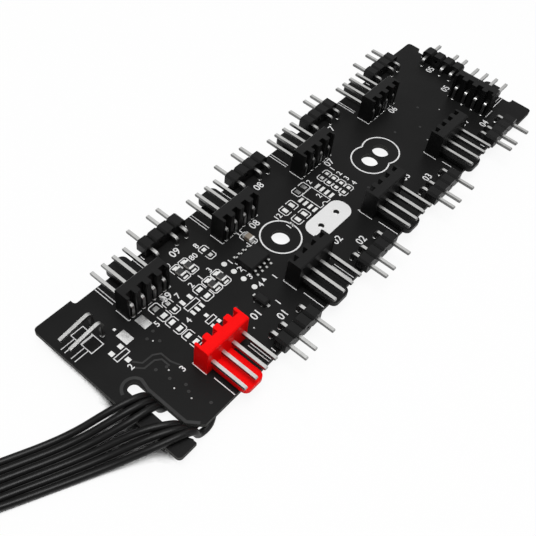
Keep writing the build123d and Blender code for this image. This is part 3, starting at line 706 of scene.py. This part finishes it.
class Plates:
    """Thin flat shapes, in millimetres of the board, that lie on its upper or under face."""

    def __init__(self, name, thick, under=False, base=0.0):
        self.name = name
        self.thick = thick
        self.under = under
        self.base = base
        self.mesh = bmesh.new()

    def corner(self, x, y, raised):
        """A corner of a plate, on the board's face or raised from it by the plate's thickness."""
        if self.under:
            return self.mesh.verts.new((x, y, -BOARD_THICK - self.thick * raised))
        return self.mesh.verts.new((x, y, self.base + self.thick * raised))

    def patch(self, outline):
        """A filled shape, with its sides down to the board."""
        high = [self.corner(x, y, 1) for x, y in outline]
        low = [self.corner(x, y, 0) for x, y in outline]
        for here in range(len(outline)):
            there = (here + 1) % len(outline)
            self.mesh.faces.new((low[here], low[there], high[there], high[here]))
        self.mesh.faces.new(high)

    def band(self, left, right, closed):
        """A strip between two rows of points. Its pieces share their corners, so nothing overlaps."""
        rows = []
        for row in (left, right):
            rows.append([self.corner(x, y, 1) for x, y in row])
            rows.append([self.corner(x, y, 0) for x, y in row])
        left_high, left_low, right_high, right_low = rows
        count = len(left)
        for here in range(count if closed else count - 1):
            there = (here + 1) % count
            self.mesh.faces.new((left_high[here], left_high[there], right_high[there], right_high[here]))
            self.mesh.faces.new((left_low[here], left_low[there], left_high[there], left_high[here]))
            self.mesh.faces.new((right_low[here], right_low[there], right_high[there], right_high[here]))
        if not closed:
            for end in (0, -1):
                self.mesh.faces.new((left_low[end], right_low[end], right_high[end], left_high[end]))

    def box(self, x, y, wide, deep):
        """A plain rectangle round a middle."""
        right = x + wide / 2
        left = x - wide / 2
        self.patch([(left, y - deep / 2), (right, y - deep / 2), (right, y + deep / 2), (left, y + deep / 2)])

    def line(self, points, width, closed=False):
        """A drawn line with mitred corners."""
        spots = [Vector(point) for point in points]
        left = []
        right = []
        for here, spot in enumerate(spots):
            before = spots[here - 1] if here or closed else None
            after = spots[(here + 1) % len(spots)] if here + 1 < len(spots) or closed else None
            way_in = (spot - before).normalized() if before is not None else (after - spot).normalized()
            way_out = (after - spot).normalized() if after is not None else way_in
            mitre = (way_in + way_out).normalized()
            side = Vector((-mitre.y, mitre.x)) * (width / 2 / max(MITRE_LEAST, mitre.dot(way_in)))
            left.append(spot + side)
            right.append(spot - side)
        self.band(left, right, closed)

    def ring(self, x, y, outer, inner, steps=RING_STEPS):
        """A whole ring."""
        self.band(circle(x, y, outer, steps), circle(x, y, inner, steps), True)

    def dot(self, x, y, radius):
        """A filled circle."""
        self.patch(circle(x, y, radius, DOT_STEPS))

    def lay(self, finish):
        """Make the collected plates into one piece on the part."""
        bmesh.ops.transform(self.mesh, matrix=BOARD_FRAME, verts=self.mesh.verts)
        add_piece(self.name, self.mesh, finish)


BOARD_FRAME = Matrix.Translation(on_board(0, 0)) @ Matrix.Scale(MM, 4)
INK_THICK = 0.03
PAD_THICK = 0.04
ink = Plates("white_ink", INK_THICK)
pads = Plates("tinned_pads", PAD_THICK)
print("plates are", INK_THICK, "and", PAD_THICK, "mm thick")

# %% [markdown]
# ## Where each header stands
# The ink round a header, and the solder at its pins, belong to the header. Rather than type the same
# numbers eighteen times, each header says where it stands: the spot on the board's edge that it faces,
# the way along that edge, and the way in from it. Then one outline serves all of them.

# %% Headers and their own directions
FAR_HEADER = 5
SAME_PIN = 1.0


def stand(kind, number):
    """A header's spot on the board's edge, the way along it, and the way into the board."""
    low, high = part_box(f"{kind}_header_{number}")
    x = (low[0] + high[0]) / 2 / MM - BOARD_MID_X
    y = (low[1] + high[1]) / 2 / MM
    if number == FAR_HEADER:
        return (FAR_END, y), (0, 1), (-1, 0)
    if number > FAR_HEADER:
        return (x, LONG_EDGE), (-1, 0), (0, -1)
    return (x, -LONG_EDGE), (1, 0), (0, 1)


def beside(where, along, inward):
    """A place so far along the edge and so far into the board from a header's spot."""
    (x, y), (ax, ay), (ix, iy) = where
    return (x + ax * along + ix * inward, y + ay * along + iy * inward)


def feet(name):
    """Where the pins of a shape go down through the board."""
    spots = []
    for vertex in nodes[name].data.vertices:
        if vertex.co.z > (BOARD_TOP - BOARD_THICK) * MM:
            continue
        here = Vector((vertex.co.x / MM - BOARD_MID_X, vertex.co.y / MM))
        near = [spot for spot in spots if (spot[0] - here).length < SAME_PIN]
        if near:
            near[0].append(here)
        else:
            spots.append([here])
    return [sum(spot, Vector((0.0, 0.0))) / len(spot) for spot in spots]


header_numbers = range(1, 10)
print("first fan header stands at", stand("fan", 1)[0], "on", len(feet("fan_header_1_pins")), "feet")

# %% [markdown]
# ## Ink round the headers
# Every fan header is outlined: a line down each end, a line along the back that is broken by the pins,
# and two long lines out to the board's edge. At one end of a right-hand header there is only one long line.
# The light headers only have a short tick at each end. A picture of the outline could be stamped eighteen
# times, but drawn lines keep the same width wherever they go.

# %% Header outlines
THIN = 0.17
FAN_HALF = 5.1
FAN_REAR = 10.25
FAN_FRONT = 7.1
DASH_HALF = 0.45
RAIL = 4.0
RAIL_GAP = 0.62
RAIL_START = 5.8
RAIL_END = 1.2
LED_HALF = 5.55
TICK = (1.6, 2.6)
for number in header_numbers:
    where = stand("fan", number)
    for side in (-1, 1):
        rear = beside(where, side * FAN_HALF, FAN_REAR)
        ink.line([beside(where, side * FAN_HALF, FAN_FRONT), rear], THIN)
        ink.line([rear, beside(where, side * (FAN_HALF - DASH_HALF), FAN_REAR)], THIN)
        single = number < FAR_HEADER and side < 0
        for rail in (RAIL + RAIL_GAP,) if single else (RAIL, RAIL + RAIL_GAP):
            ink.line([beside(where, side * rail, inward) for inward in (RAIL_START, RAIL_END)], THIN)
    for gap in (-1, 0, 1):
        middle = gap * PIN_PITCH
        ink.line([beside(where, middle + end, FAN_REAR) for end in (-DASH_HALF, DASH_HALF)], THIN)
    where = stand("led", number)
    for side in (-1, 1):
        ink.line([beside(where, side * LED_HALF, inward) for inward in TICK], THIN)
print("outlined", 2 * len(header_numbers), "headers")

# %% [markdown]
# ## Ink round the small parts
# A part with two ends gets two brackets, open in the middle, that hug its pads. Some of these places are
# empty on this board, so their pads show bright with a little solder on them. Each place could be drawn by
# hand, but they only differ in their middle, their length, their width, and whether they lie along the board
# or across it. So lists of those numbers and one function draw them all.

# %% Brackets and pads
BRACKET_CUT = 0.3
BRACKET_OPEN = 0.35
PAD_INSET = 0.95

# how far a pad's middle is from the place's middle, and how long the pad is, as shares of the place's length
EMPTY_PAD = (0.25, 0.22)
FILLED_PAD = (0.37, 0.11)


def two_ended(x, y, long, wide, across, filled):
    """Brackets round a two-ended part, with its two pads or the strips of them that a part leaves bare."""

    def spot(along, side):
        return (x + side, y + along) if across else (x + along, y + side)

    half = long / 2
    flank = wide / 2
    pad_at, pad_share = FILLED_PAD if filled else EMPTY_PAD
    deep = long * pad_share
    broad = wide - PAD_INSET
    for way in (-1, 1):
        ink.line([
            spot(way * BRACKET_OPEN, -flank),
            spot(way * (half - BRACKET_CUT), -flank),
            spot(way * half, BRACKET_CUT - flank),
            spot(way * half, flank - BRACKET_CUT),
            spot(way * (half - BRACKET_CUT), flank),
            spot(way * BRACKET_OPEN, flank),
        ], THIN)
        px, py = spot(way * long * pad_at, 0.0)
        pads.box(px, py, broad if across else deep, deep if across else broad)


EMPTY_ACROSS = (
    (-41.05, 4.30, 4.0, 2.1),
    (-41.05, 0.40, 3.6, 2.1),
    (-41.05, -3.45, 3.5, 2.1),
    (-38.75, 3.75, 3.3, 1.75),
    (-25.40, 7.55, 3.3, 1.8),
    (-32.70, 1.75, 3.7, 2.1),
)
FILLED_ACROSS = (
    (-32.35, 7.80, 3.8, 2.05),
    (-30.20, 7.80, 3.8, 2.05),
    (-30.30, 1.80, 3.7, 2.1),
    (-28.00, 1.80, 3.7, 2.1),
    (-17.50, 4.20, 3.3, 1.95),
)
EMPTY_ALONG = (
    (-5.90, 3.75, 4.0, 2.2),
    (-5.90, 0.55, 4.0, 2.2),
    (-0.20, 5.15, 4.0, 2.1),
    (6.40, 4.10, 3.4, 1.7),
    (6.40, 2.30, 3.4, 1.7),
    (6.40, 0.40, 3.4, 1.7),
    (6.40, -1.50, 3.4, 1.7),
)
for place in EMPTY_ACROSS:
    two_ended(*place, across=True, filled=False)
for place in FILLED_ACROSS:
    two_ended(*place, across=True, filled=True)
for place in EMPTY_ALONG:
    two_ended(*place, across=False, filled=False)
print("bracketed", len(EMPTY_ACROSS) + len(FILLED_ACROSS) + len(EMPTY_ALONG), "places")

# %% [markdown]
# ## Places for parts with more legs
# Two small transistors, a regulator and an eight-legged chip were left off as well. Each has a little ink
# box between two rows of pads. Near the lead's end are two broad pads for a larger part.

# %% More empty places


def framed(x0, y0, x1, y1):
    """An ink rectangle."""
    ink.line([(x0, y0), (x1, y0), (x1, y1), (x0, y1)], THIN, closed=True)


# two opposite corners of each ink box
BOXES = ((-52.9, 2.3, -50.1, 3.2), (-37.5, 0.95, -34.4, 1.95), (-37.0, -3.5, -34.9, -2.7))

# middle, length along the board and width across it of each pad, part by part
LEG_PADS = (
    (-52.5, 4.1, 0.85, 0.95), (-50.5, 4.1, 0.85, 0.95), (-51.4, 1.35, 0.85, 0.95),
    (-37.1, 0.1, 0.6, 1.1), (-36.0, 0.1, 0.6, 1.1), (-34.9, 0.1, 0.6, 1.1),
    (-36.9, 2.85, 0.7, 1.15), (-35.0, 2.85, 0.7, 1.15),
    (-36.7, -4.3, 0.7, 0.75), (-35.2, -4.3, 0.7, 0.75), (-35.9, -1.95, 0.7, 0.75),
    (-48.7, 4.9, 1.75, 2.6), (-44.4, 4.9, 1.75, 2.6), (-48.9, 7.3, 0.5, 0.5),
)
for corners in BOXES:
    framed(*corners)
for pad in LEG_PADS:
    pads.box(*pad)
print("pads so far:", len(pads.mesh.faces), "faces")

# %% [markdown]
# The eight-legged chip's place is larger. Its outline has a half-round notch at one end, and a small arrow
# points at the first leg. The chip that is fitted, nearer to the lead, has such an arrow too, and a tick
# beside each leg on one side. These outlines are used once, so their corners are simply written down.

# %% Outline of the missing chip
CHIP_ROWS = (3.3, 2.1, 0.9, -0.3)
CHIP_PADS = ((-2.5, 1.4), (3.0, 1.5))
CHIP_PAD_WIDE = 0.62
ARROWS = (
    ((4.0, -1.7), (4.8, -1.7), (4.4, -1.1)),
    ((-23.3, -4.5), (-22.4, -4.5), (-22.85, -3.6)),
)
LEG_X = -23.7
LEG_ROWS = (2.1, 1.0, -0.1, -1.2)
LEG_TICK = 0.55
for y in CHIP_ROWS:
    for x, long in CHIP_PADS:
        pads.box(x, y, long, CHIP_PAD_WIDE)
notch = circle(0.3, -0.8, 0.55, 10, 0.0, 180.0)
ink.line([(-1.3, -0.8), (-1.3, 4.0), (1.9, 4.0), (1.9, -0.8), *notch], THIN, closed=True)
for arrow in ARROWS:
    ink.patch(arrow)
for y in LEG_ROWS:
    ink.line([(LEG_X, y), (LEG_X, y - LEG_TICK)], THIN)
print("pads so far:", len(pads.mesh.faces), "faces")

# %% [markdown]
# ## Rings and the white field
# The screw holes have printed rings. The rings of the two far holes overlap, so they join into one figure
# of eight. Two whole rings would cross inside it, so each circle is drawn only where it is outside the other.

# %% Screw rings
HOLE_Y = 0.1
LONE_X = -12.75
TWIN_X = (17.2, 21.2)
RING_R = 4.05
RING_LINE = 0.3
ARC_STEPS = 60
ink.ring(LONE_X, HOLE_Y, RING_R + RING_LINE / 2, RING_R - RING_LINE / 2)
open_half = math.degrees(math.acos((TWIN_X[1] - TWIN_X[0]) / 2 / RING_R))
for x, begin in zip(TWIN_X, (open_half, 180.0 + open_half)):
    ink.line(circle(x, HOLE_Y, RING_R, ARC_STEPS, begin, 360.0 - 2 * open_half), RING_LINE)
print("rings of radius", RING_R, "mm")

# %% [markdown]
# A white field with a rounded end marks where a tall part would stand, with its two plated holes left open.
# A flat face can't have holes in it, so the field is two halves that meet on a line through both holes.

# %% White field
PLATED = ((-4.95, -3.75), (0.05, -3.7))
PLATED_R = 0.84
PLATED_HOLE = 0.62
HALF_STEPS = 16
upper_rim = [*circle(1.0, -3.5, 2.3, 10, 0.0, 90.0), *circle(-6.0, -3.3, 2.1, 8, 90.0, 90.0)]
lower_rim = [*circle(1.0, -3.9, 2.3, 10, 0.0, -90.0), (-6.3, -6.2), (-6.3, -4.6), (-8.1, -4.6)]
over_holes = [spot for x, y in PLATED for spot in circle(x, y, PLATED_R, HALF_STEPS, 180.0, -180.0)]
under_holes = [spot for x, y in PLATED for spot in circle(x, y, PLATED_R, HALF_STEPS, 180.0, 180.0)]
MID_LEFT = (-8.1, -3.75)
MID_RIGHT = (3.3, -3.7)
ink.patch([MID_LEFT, *over_holes, MID_RIGHT, *upper_rim])
ink.patch([MID_LEFT, *under_holes, MID_RIGHT, *lower_rim])
for x, y in PLATED:
    pads.ring(x, y, PLATED_R, PLATED_HOLE)
print("a white field round", len(PLATED), "plated holes")

# %% [markdown]
# The two bare pins at the lead's end lie over a printed sketch of the plug that fits them: two squares
# with lines out to the board's edge. The same frames and lines as before are enough for it.

# %% Mark under the bare pins
SKETCH_NEAR = -54.7
SKETCH_FAR = -52.1
SKETCH_SQUARES = ((9.2, 11.6), (6.5, 9.0))
SKETCH_LINES = (10.7, 9.8, 8.2, 7.3)
EDGE_MARGIN = 0.6
for low, high in SKETCH_SQUARES:
    framed(SKETCH_NEAR, low, SKETCH_FAR, high)
for y in SKETCH_LINES:
    ink.line([(SKETCH_NEAR, y), (NEAR_END + EDGE_MARGIN, y)], THIN)
print("plug mark drawn with", len(SKETCH_LINES), "lines")

# %% [markdown]
# ## Numbers
# Boards number their headers and parts. Only plain numbers are printed here. They could stay as text, but
# then each would be a piece of its own. Blender's own digits are turned into thin plates and added to the
# same ink, slightly thickened, because screen-printed strokes spread a little.

# %% Numerals
DIGIT_SHARE = 0.7
INK_SPREAD = 0.022


def numeral(number, x, y, tall):
    """A plain number, this tall, round a middle."""
    digits = bpy.data.curves.new("numeral", "FONT")
    digits.body = str(number)
    digits.size = tall / DIGIT_SHARE
    digits.align_x = "CENTER"
    digits.align_y = "CENTER"
    digits.extrude = INK_THICK / 2
    digits.offset = INK_SPREAD
    digits.resolution_u = 3
    carrier = put("numeral", digits)
    plate = bpy.data.meshes.new_from_object(carrier)
    plate.transform(Matrix.Translation((x, y, INK_THICK / 2)))
    ink.mesh.from_mesh(plate)
    bpy.data.objects.remove(carrier)
    bpy.data.curves.remove(digits)
    bpy.data.meshes.remove(plate)


HEADER_TALL = 1.55

# how far along the board from its header a number stands, and its line across the board
LEFT_MARKS = {"fan": (2.9, 5.7), "led": (-0.5, 11.7)}
RIGHT_MARKS = {"fan": (9.8, -8.2), "led": (1.2, -11.6)}

# the numbers at the far end have places of their own
FAR_MARKS = {"fan": (49.8, 1.2), "led": (53.2, 7.6)}
for number in header_numbers:
    for kind in ("fan", "led"):
        if number == FAR_HEADER:
            x, y = FAR_MARKS[kind]
        else:
            shift, y = (LEFT_MARKS if number > FAR_HEADER else RIGHT_MARKS)[kind]
            x = stand(kind, number)[0][0] + shift
        numeral(f"0{number}", x, y, HEADER_TALL)
print("numbered", 2 * len(header_numbers), "headers")

# %% [markdown]
# The small parts and the four test pads have smaller numbers. These follow no rule, so each has its number
# and its place in a list. A test pad's number stands beside it.

# %% Numbers of the small parts
PART_TALL = 1.2
TEST_X = -25.3
TEST_ROWS = (3.4, 1.0, -1.4, -4.0)
TEST_NUMBER = (1.2, -0.5)
PART_NUMBERS = (
    (2, -52.0, 0.0), (3, -46.4, -6.4), (5, -43.1, 2.9), (4, -38.8, -0.5), (6, -38.7, 6.1), (7, -36.4, 4.5),
    (10, -33.2, 10.5), (80, -28.0, 8.6), (2, -33.0, 4.4), (1, -30.6, 4.4), (3, -28.2, 4.4), (8, -25.8, 10.0),
    (1, -20.9, -5.2), (1, -24.9, -9.3), (11, -17.6, 6.6), (12, -9.2, 3.7), (13, -9.2, 0.6), (2, 2.7, 5.2),
    (1, 9.2, 4.1), (2, 9.2, 2.3), (3, 9.2, 0.4), (4, 9.2, -1.5), (2, 1.1, 1.4),
)
for number, x, y in PART_NUMBERS:
    numeral(number, x, y, PART_TALL)
for number, y in enumerate(TEST_ROWS, 1):
    numeral(number, TEST_X + TEST_NUMBER[0], y + TEST_NUMBER[1], PART_TALL)
print("numbers printed, ink has", len(ink.mesh.faces), "faces")

# %% [markdown]
# White board ink is chalky, with tiny pinholes from the screen. Real holes would need far too many faces, so
# one fine cloud gives the ink its shade, its roughness and its unevenness.

# %% White ink
chalky = Finish("white_ink", {"IOR": 1.45, "Specular IOR Level": 0.3})
screen = chalky.cloud(0.12)
chalky.feed("Base Color", chalky.between(screen, grey(0.62), grey(0.78)))
chalky.feed("Roughness", 0.50 + screen * 0.20)
chalky.dents(screen, 0.006)
ink.lay(chalky)

# %% [markdown]
# ## Dots of bare metal
# Four round test pads stand in a row beside the chip, and small vias are scattered where traces change
# sides. About half of them are lacquered over, and the others are left bright. A via could be a dark dot,
# but as a ring it shows its hole. They join the other pads, so that one piece has them all.

# %% Test pads and bright vias
TEST_R = 0.55
VIA_R = 0.14
VIA_HOLE = 0.06
VIA_STEPS = 12
BRIGHT_VIAS = (
    (3.7, -6.6), (42.3, -1.7), (-27.9, -6.1), (-27.7, -7.7), (-32.1, -9.7), (-31.2, -6.9), (31.6, -5.3),
    (-49.4, -11.2), (-48.2, -4.9), (-50.0, -7.9), (-46.0, 1.0),
)
for y in TEST_ROWS:
    pads.dot(TEST_X, y, TEST_R)
for x, y in BRIGHT_VIAS:
    pads.ring(x, y, VIA_R, VIA_HOLE, VIA_STEPS)
pads.lay(solder)

# %% [markdown]
# ## Copper under the lacquer
# Traces show as very low ridges in the lacquer. They could be a bump in the material, but real traces go
# somewhere: here one turns round the slot and two run in beside the lead. They are plates again, in the
# paler lacquer that lies over copper, and so are the vias that are lacquered over.

# %% Traces and covered vias
TRACE_THICK = 0.02
TRACE = 0.32
RIM = 0.55
COVERED_R = 0.3
DARK_VIAS = (
    (10.3, -4.4), (-31.0, -4.6), (-49.6, -3.3), (-48.0, -4.2), (-49.2, -6.1), (-48.2, -8.8), (-48.8, -10.0),
    (-47.8, -14.0), (-45.2, 0.2), (-44.6, 2.4), (-46.4, 2.0), (28.4, 1.2), (34.0, -1.8), (39.2, 2.2),
)
traces = Plates("copper_traces", TRACE_THICK)
slot_rim = circle(-54.5, -3.3, 2.05, 14, 165.0, -155.0)
traces.line([*slot_rim, (-53.0, -5.0), (-53.0, -13.4), (-51.6, -15.2)], RIM)
traces.line([(-51.2, 0.6), (-50.2, -0.8), (-48.0, -0.9), (-46.8, -1.7), (-46.8, -3.9), (-46.2, -5.6)], TRACE)
traces.line([(-51.9, -0.3), (-50.7, -1.75), (-48.5, -1.85), (-47.5, -2.6), (-47.5, -4.4)], TRACE)
for x, y in DARK_VIAS:
    traces.ring(x, y, COVERED_R, VIA_HOLE, VIA_STEPS)
traces.lay(over_copper)

# %% [markdown]
# ## Solder
# Each pin goes down through the board and is soldered from below, where the solder climbs the pin in a
# hollow cone. On the upper face only a low collar shows. A plain cone would look like a spike. Both are the
# same turned shape with different sizes, so one function makes them: a curve that falls steeply and then
# runs out flat.

# %% Collars and cones
TURN_STEPS = 14
RISE_STEPS = 5
HOLLOW = 2.2

# height, radius at the board and radius at the pin
COLLAR = (0.12, 0.47, 0.37)
CONE = (-1.05, 0.88, 0.42)


def skin(mesh, rings):
    """Join each ring of corners to the next, and close the last one."""
    for low, high in zip(rings, rings[1:]):
        for here in range(TURN_STEPS):
            there = (here + 1) % TURN_STEPS
            mesh.faces.new((low[here], low[there], high[there], high[here]))
    mesh.faces.new(rings[-1])


def hollow_cone(mesh, x, y, begin, tall, foot, tip):
    """A turned cone with hollow sides. A negative height hangs it below the board."""
    rings = []
    for rise in range(RISE_STEPS + 1):
        share = rise / RISE_STEPS
        radius = tip + (foot - tip) * (1.0 - share) ** HOLLOW
        level = begin + tall * share
        outline = circle(x, y, radius, TURN_STEPS)
        rings.append([mesh.verts.new(on_board(px, py, level)) for px, py in outline])
    skin(mesh, rings)


def smooth_piece(name, mesh, finish):
    """A piece on the part whose faces are shaded as one."""
    for face in mesh.faces:
        face.smooth = True
    add_piece(name, mesh, finish)


collars = bmesh.new()
cones = bmesh.new()
pin_shapes = [f"{kind}_header_{number}_pins" for kind in ("fan", "led") for number in header_numbers]
for name in (*pin_shapes, "signal_pins"):
    for foot in feet(name):
        hollow_cone(collars, foot.x, foot.y, 0.0, *COLLAR)
        hollow_cone(cones, foot.x, foot.y, -BOARD_THICK, *CONE)
smooth_piece("solder_collars", collars, tin)
smooth_piece("solder_cones", cones, solder)

# %% [markdown]
# The six wires end under the board. Each bared end lies flat on its pad there, in a long mound of solder.
# A ball could be squashed into that shape, but half of it would be lost in the board. So a mound is only a
# dome: rings that shrink as they go down, longer than they are wide.

# %% Mounds over the wire ends
MOUND_STEPS = 5
MOUND_X = -48.45
MOUND_LONG = 1.35
MOUND_WIDE = 0.72
MOUND_DEEP = 0.92
PAST_ENDS = 0.5
PAST_SIDES = 0.06
LAST_END_Y = -15.1
mounds = bmesh.new()
under_pads = Plates("under_pads", PAD_THICK, under=True)
for y in (*SLOT_Y[:-1], LAST_END_Y):
    under_pads.box(MOUND_X, y, 2 * MOUND_LONG + PAST_ENDS, 2 * MOUND_WIDE + PAST_SIDES)
    rings = []
    for step in range(MOUND_STEPS):
        angle = math.pi / 2 * step / MOUND_STEPS
        drop = -BOARD_THICK - MOUND_DEEP * math.sin(angle)
        rings.append([
            mounds.verts.new(on_board(MOUND_X + px * MOUND_LONG, y + py * MOUND_WIDE, drop))
            for px, py in circle(0.0, 0.0, math.cos(angle), TURN_STEPS)
        ])
    skin(mounds, rings)
smooth_piece("wire_solder", mounds, solder)
under_pads.lay(solder)

# %% [markdown]
# A chip has a small round mark at its first leg, and a diode has a band across one end. They could be cut
# into the solids, but they are too shallow for that. Both are thin plates again, in the same resin, which
# lie on the tops of those parts instead of on the board.

# %% Marks on the chip and the diode
MARK_THICK = 0.012
MARK_AT = 0.32
MARK_OUTER = 0.34
MARK_INNER = 0.24
MARK_STEPS = 20
BAND_AT = 0.28
BAND_SHARE = 0.72
BAND_WIDE = 0.38


def top_of(name):
    """The middle, the two sides and the height of a shape's top, in millimetres of the board."""
    low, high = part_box(name)
    middle = ((low[0] + high[0]) / 2 / MM - BOARD_MID_X, (low[1] + high[1]) / 2 / MM)
    return middle, (high[0] - low[0]) / MM, (high[1] - low[1]) / MM, high[2] / MM - BOARD_TOP


(chip_x, chip_y), chip_long, chip_wide, chip_top = top_of("controller_chip")
first_leg = Plates("chip_mark", MARK_THICK, base=chip_top)
mark_x = chip_x - chip_long * MARK_AT
mark_y = chip_y - chip_wide * MARK_AT
first_leg.ring(mark_x, mark_y, MARK_OUTER, MARK_INNER, MARK_STEPS)
first_leg.lay(resin)

(diode_x, diode_y), diode_long, diode_wide, diode_top = top_of("diode")
band = Plates("diode_band", MARK_THICK, base=diode_top)
band.box(diode_x, diode_y - diode_wide * BAND_AT, diode_long * BAND_SHARE, BAND_WIDE)
band.lay(resin)
print("marks stand", round(chip_top, 2), "and", round(diode_top, 2), "mm above the board")

# %% [markdown]
# ## The floor and the light
# The photograph is cut out on white, so the floor is plain white. Stronger lamps would whiten it too, but
# they would also wash out the board. So a camera ray sees most of that white directly, and the rest is an
# ordinary pale surface that keeps a soft shadow under the board. Between the wires of the lead the floor
# lies in narrow gaps. A node that asks how much sky a point sees finds those gaps, and there the floor is
# given a nearly black colour and none of the camera's white, a painted shade, as they are dark in the
# photograph.

# %% Floor
REACH = 20.0
FLOOR_Z = -0.0001
CRACK = 9.0
CRACK_SKY = 0.40
SEEN_UNDER = 1.6
WHITE_SEEN = 0.90
WHITE_MIRRORED = 0.4
floor_mesh = bpy.data.meshes.new("floor")
corners = [(-REACH, -REACH, 0), (REACH, -REACH, 0), (REACH, REACH, 0), (-REACH, REACH, 0)]
floor_mesh.from_pydata(corners, [], [(0, 1, 2, 3)])
floor = put("floor", floor_mesh)
floor.location.z = FLOOR_Z

paper = Finish("floor_paper", {"Roughness": 0.9, "Specular IOR Level": 0.1})
plain = Amount(paper.tree, paper.shader.outputs[0])
glow = paper.node("ShaderNodeEmission", {}, {"Strength": 1.0})
open_sky = paper.node("ShaderNodeAmbientOcclusion", {"samples": 16}, {"Distance": CRACK * MM}, "AO")
floor_x = paper.node("ShaderNodeSeparateXYZ", {}, {"Vector": paper.place()}, "X")
by_lead = floor_x < on_board(NEAR_END + SEEN_UNDER, 0).x
# painted shade: beside the lead, where the floor sees little sky, its colour goes nearly black and the
# camera's white is taken away
painted_crack_shade = by_lead * (open_sky < CRACK_SKY)
paper.feed("Base Color", paper.between(painted_crack_shade, grey(0.86), grey(0.03)))
mirrored = paper.ray("Glossy") + paper.ray("Transmission")
share = paper.ray("Camera") * (1 - painted_crack_shade) * WHITE_SEEN + mirrored * WHITE_MIRRORED
blend = paper.node("ShaderNodeMixShader", {}, {0: share, 1: plain, 2: glow})
paper.tree.links.new(blend.socket, paper.tree.nodes["Material Output"].inputs["Surface"])
floor_mesh.materials.append(paper.material)
print("floor is", 2 * REACH, "m wide")

# %% [markdown]
# The main light is a soft box overhead, a little towards the camera, so that the black faces don't mirror
# it. A broad dim one behind the board is what the level faces do mirror: it greys the pins and draws a pale
# line along every wire. Two weak ones at the sides keep the upright faces of the black plastic apart. One
# big lamp would be simpler, but the black parts would run together.

# %% Lamps
# name, place, side of the square in metres, and watts
LAMPS = (
    ("top_box", (-0.10, -0.06, 0.80), 0.5, 5.4),
    ("back_box", (0.55, 0.38, 0.75), 0.9, 1.7),
    ("left_box", (-0.55, 0.35, 0.40), 0.4, 0.6),
    ("right_box", (0.20, -0.65, 0.35), 0.4, 0.5),
)
for name, place, side, watts in LAMPS:
    lamp_data = bpy.data.lights.new(name, "AREA")
    lamp_data.shape = "SQUARE"
    lamp_data.size = side
    lamp_data.energy = watts
    lamp = put(name, lamp_data)
    lamp.location = place
    lamp.rotation_euler = (-Vector(place)).to_track_quat("-Z", "Y").to_euler()
print("lit by", len(LAMPS), "soft boxes that look at the part's origin")

# %% [markdown]
# The room round the part is dim, so that it adds little to the lamps. Where the camera looks past the far
# edge of the floor it would show as grey. A wall could hide that, but it is simpler to let the room answer
# a camera ray with the white of the floor.

# %% Room
ROOM_LIGHT = 0.19
ROOM_SEEN = 0.77
ROOM_MIRRORED = 0.06
world = bpy.data.worlds.new("studio")
world.use_nodes = True
room = NodeNet(world.node_tree)
background = room.tree.nodes["Background"]
background.inputs["Color"].default_value = grey(0.95)
room_mirrored = room.ray("Glossy") + room.ray("Transmission")
strength = ROOM_LIGHT + room.ray("Camera") * ROOM_SEEN + room_mirrored * ROOM_MIRRORED
room.tree.links.new(strength.socket, background.inputs["Strength"])
bpy.context.scene.world = world
bpy.context.scene.view_settings.view_transform = "Standard"
print("a room of strength", ROOM_LIGHT, "that looks white to the camera")
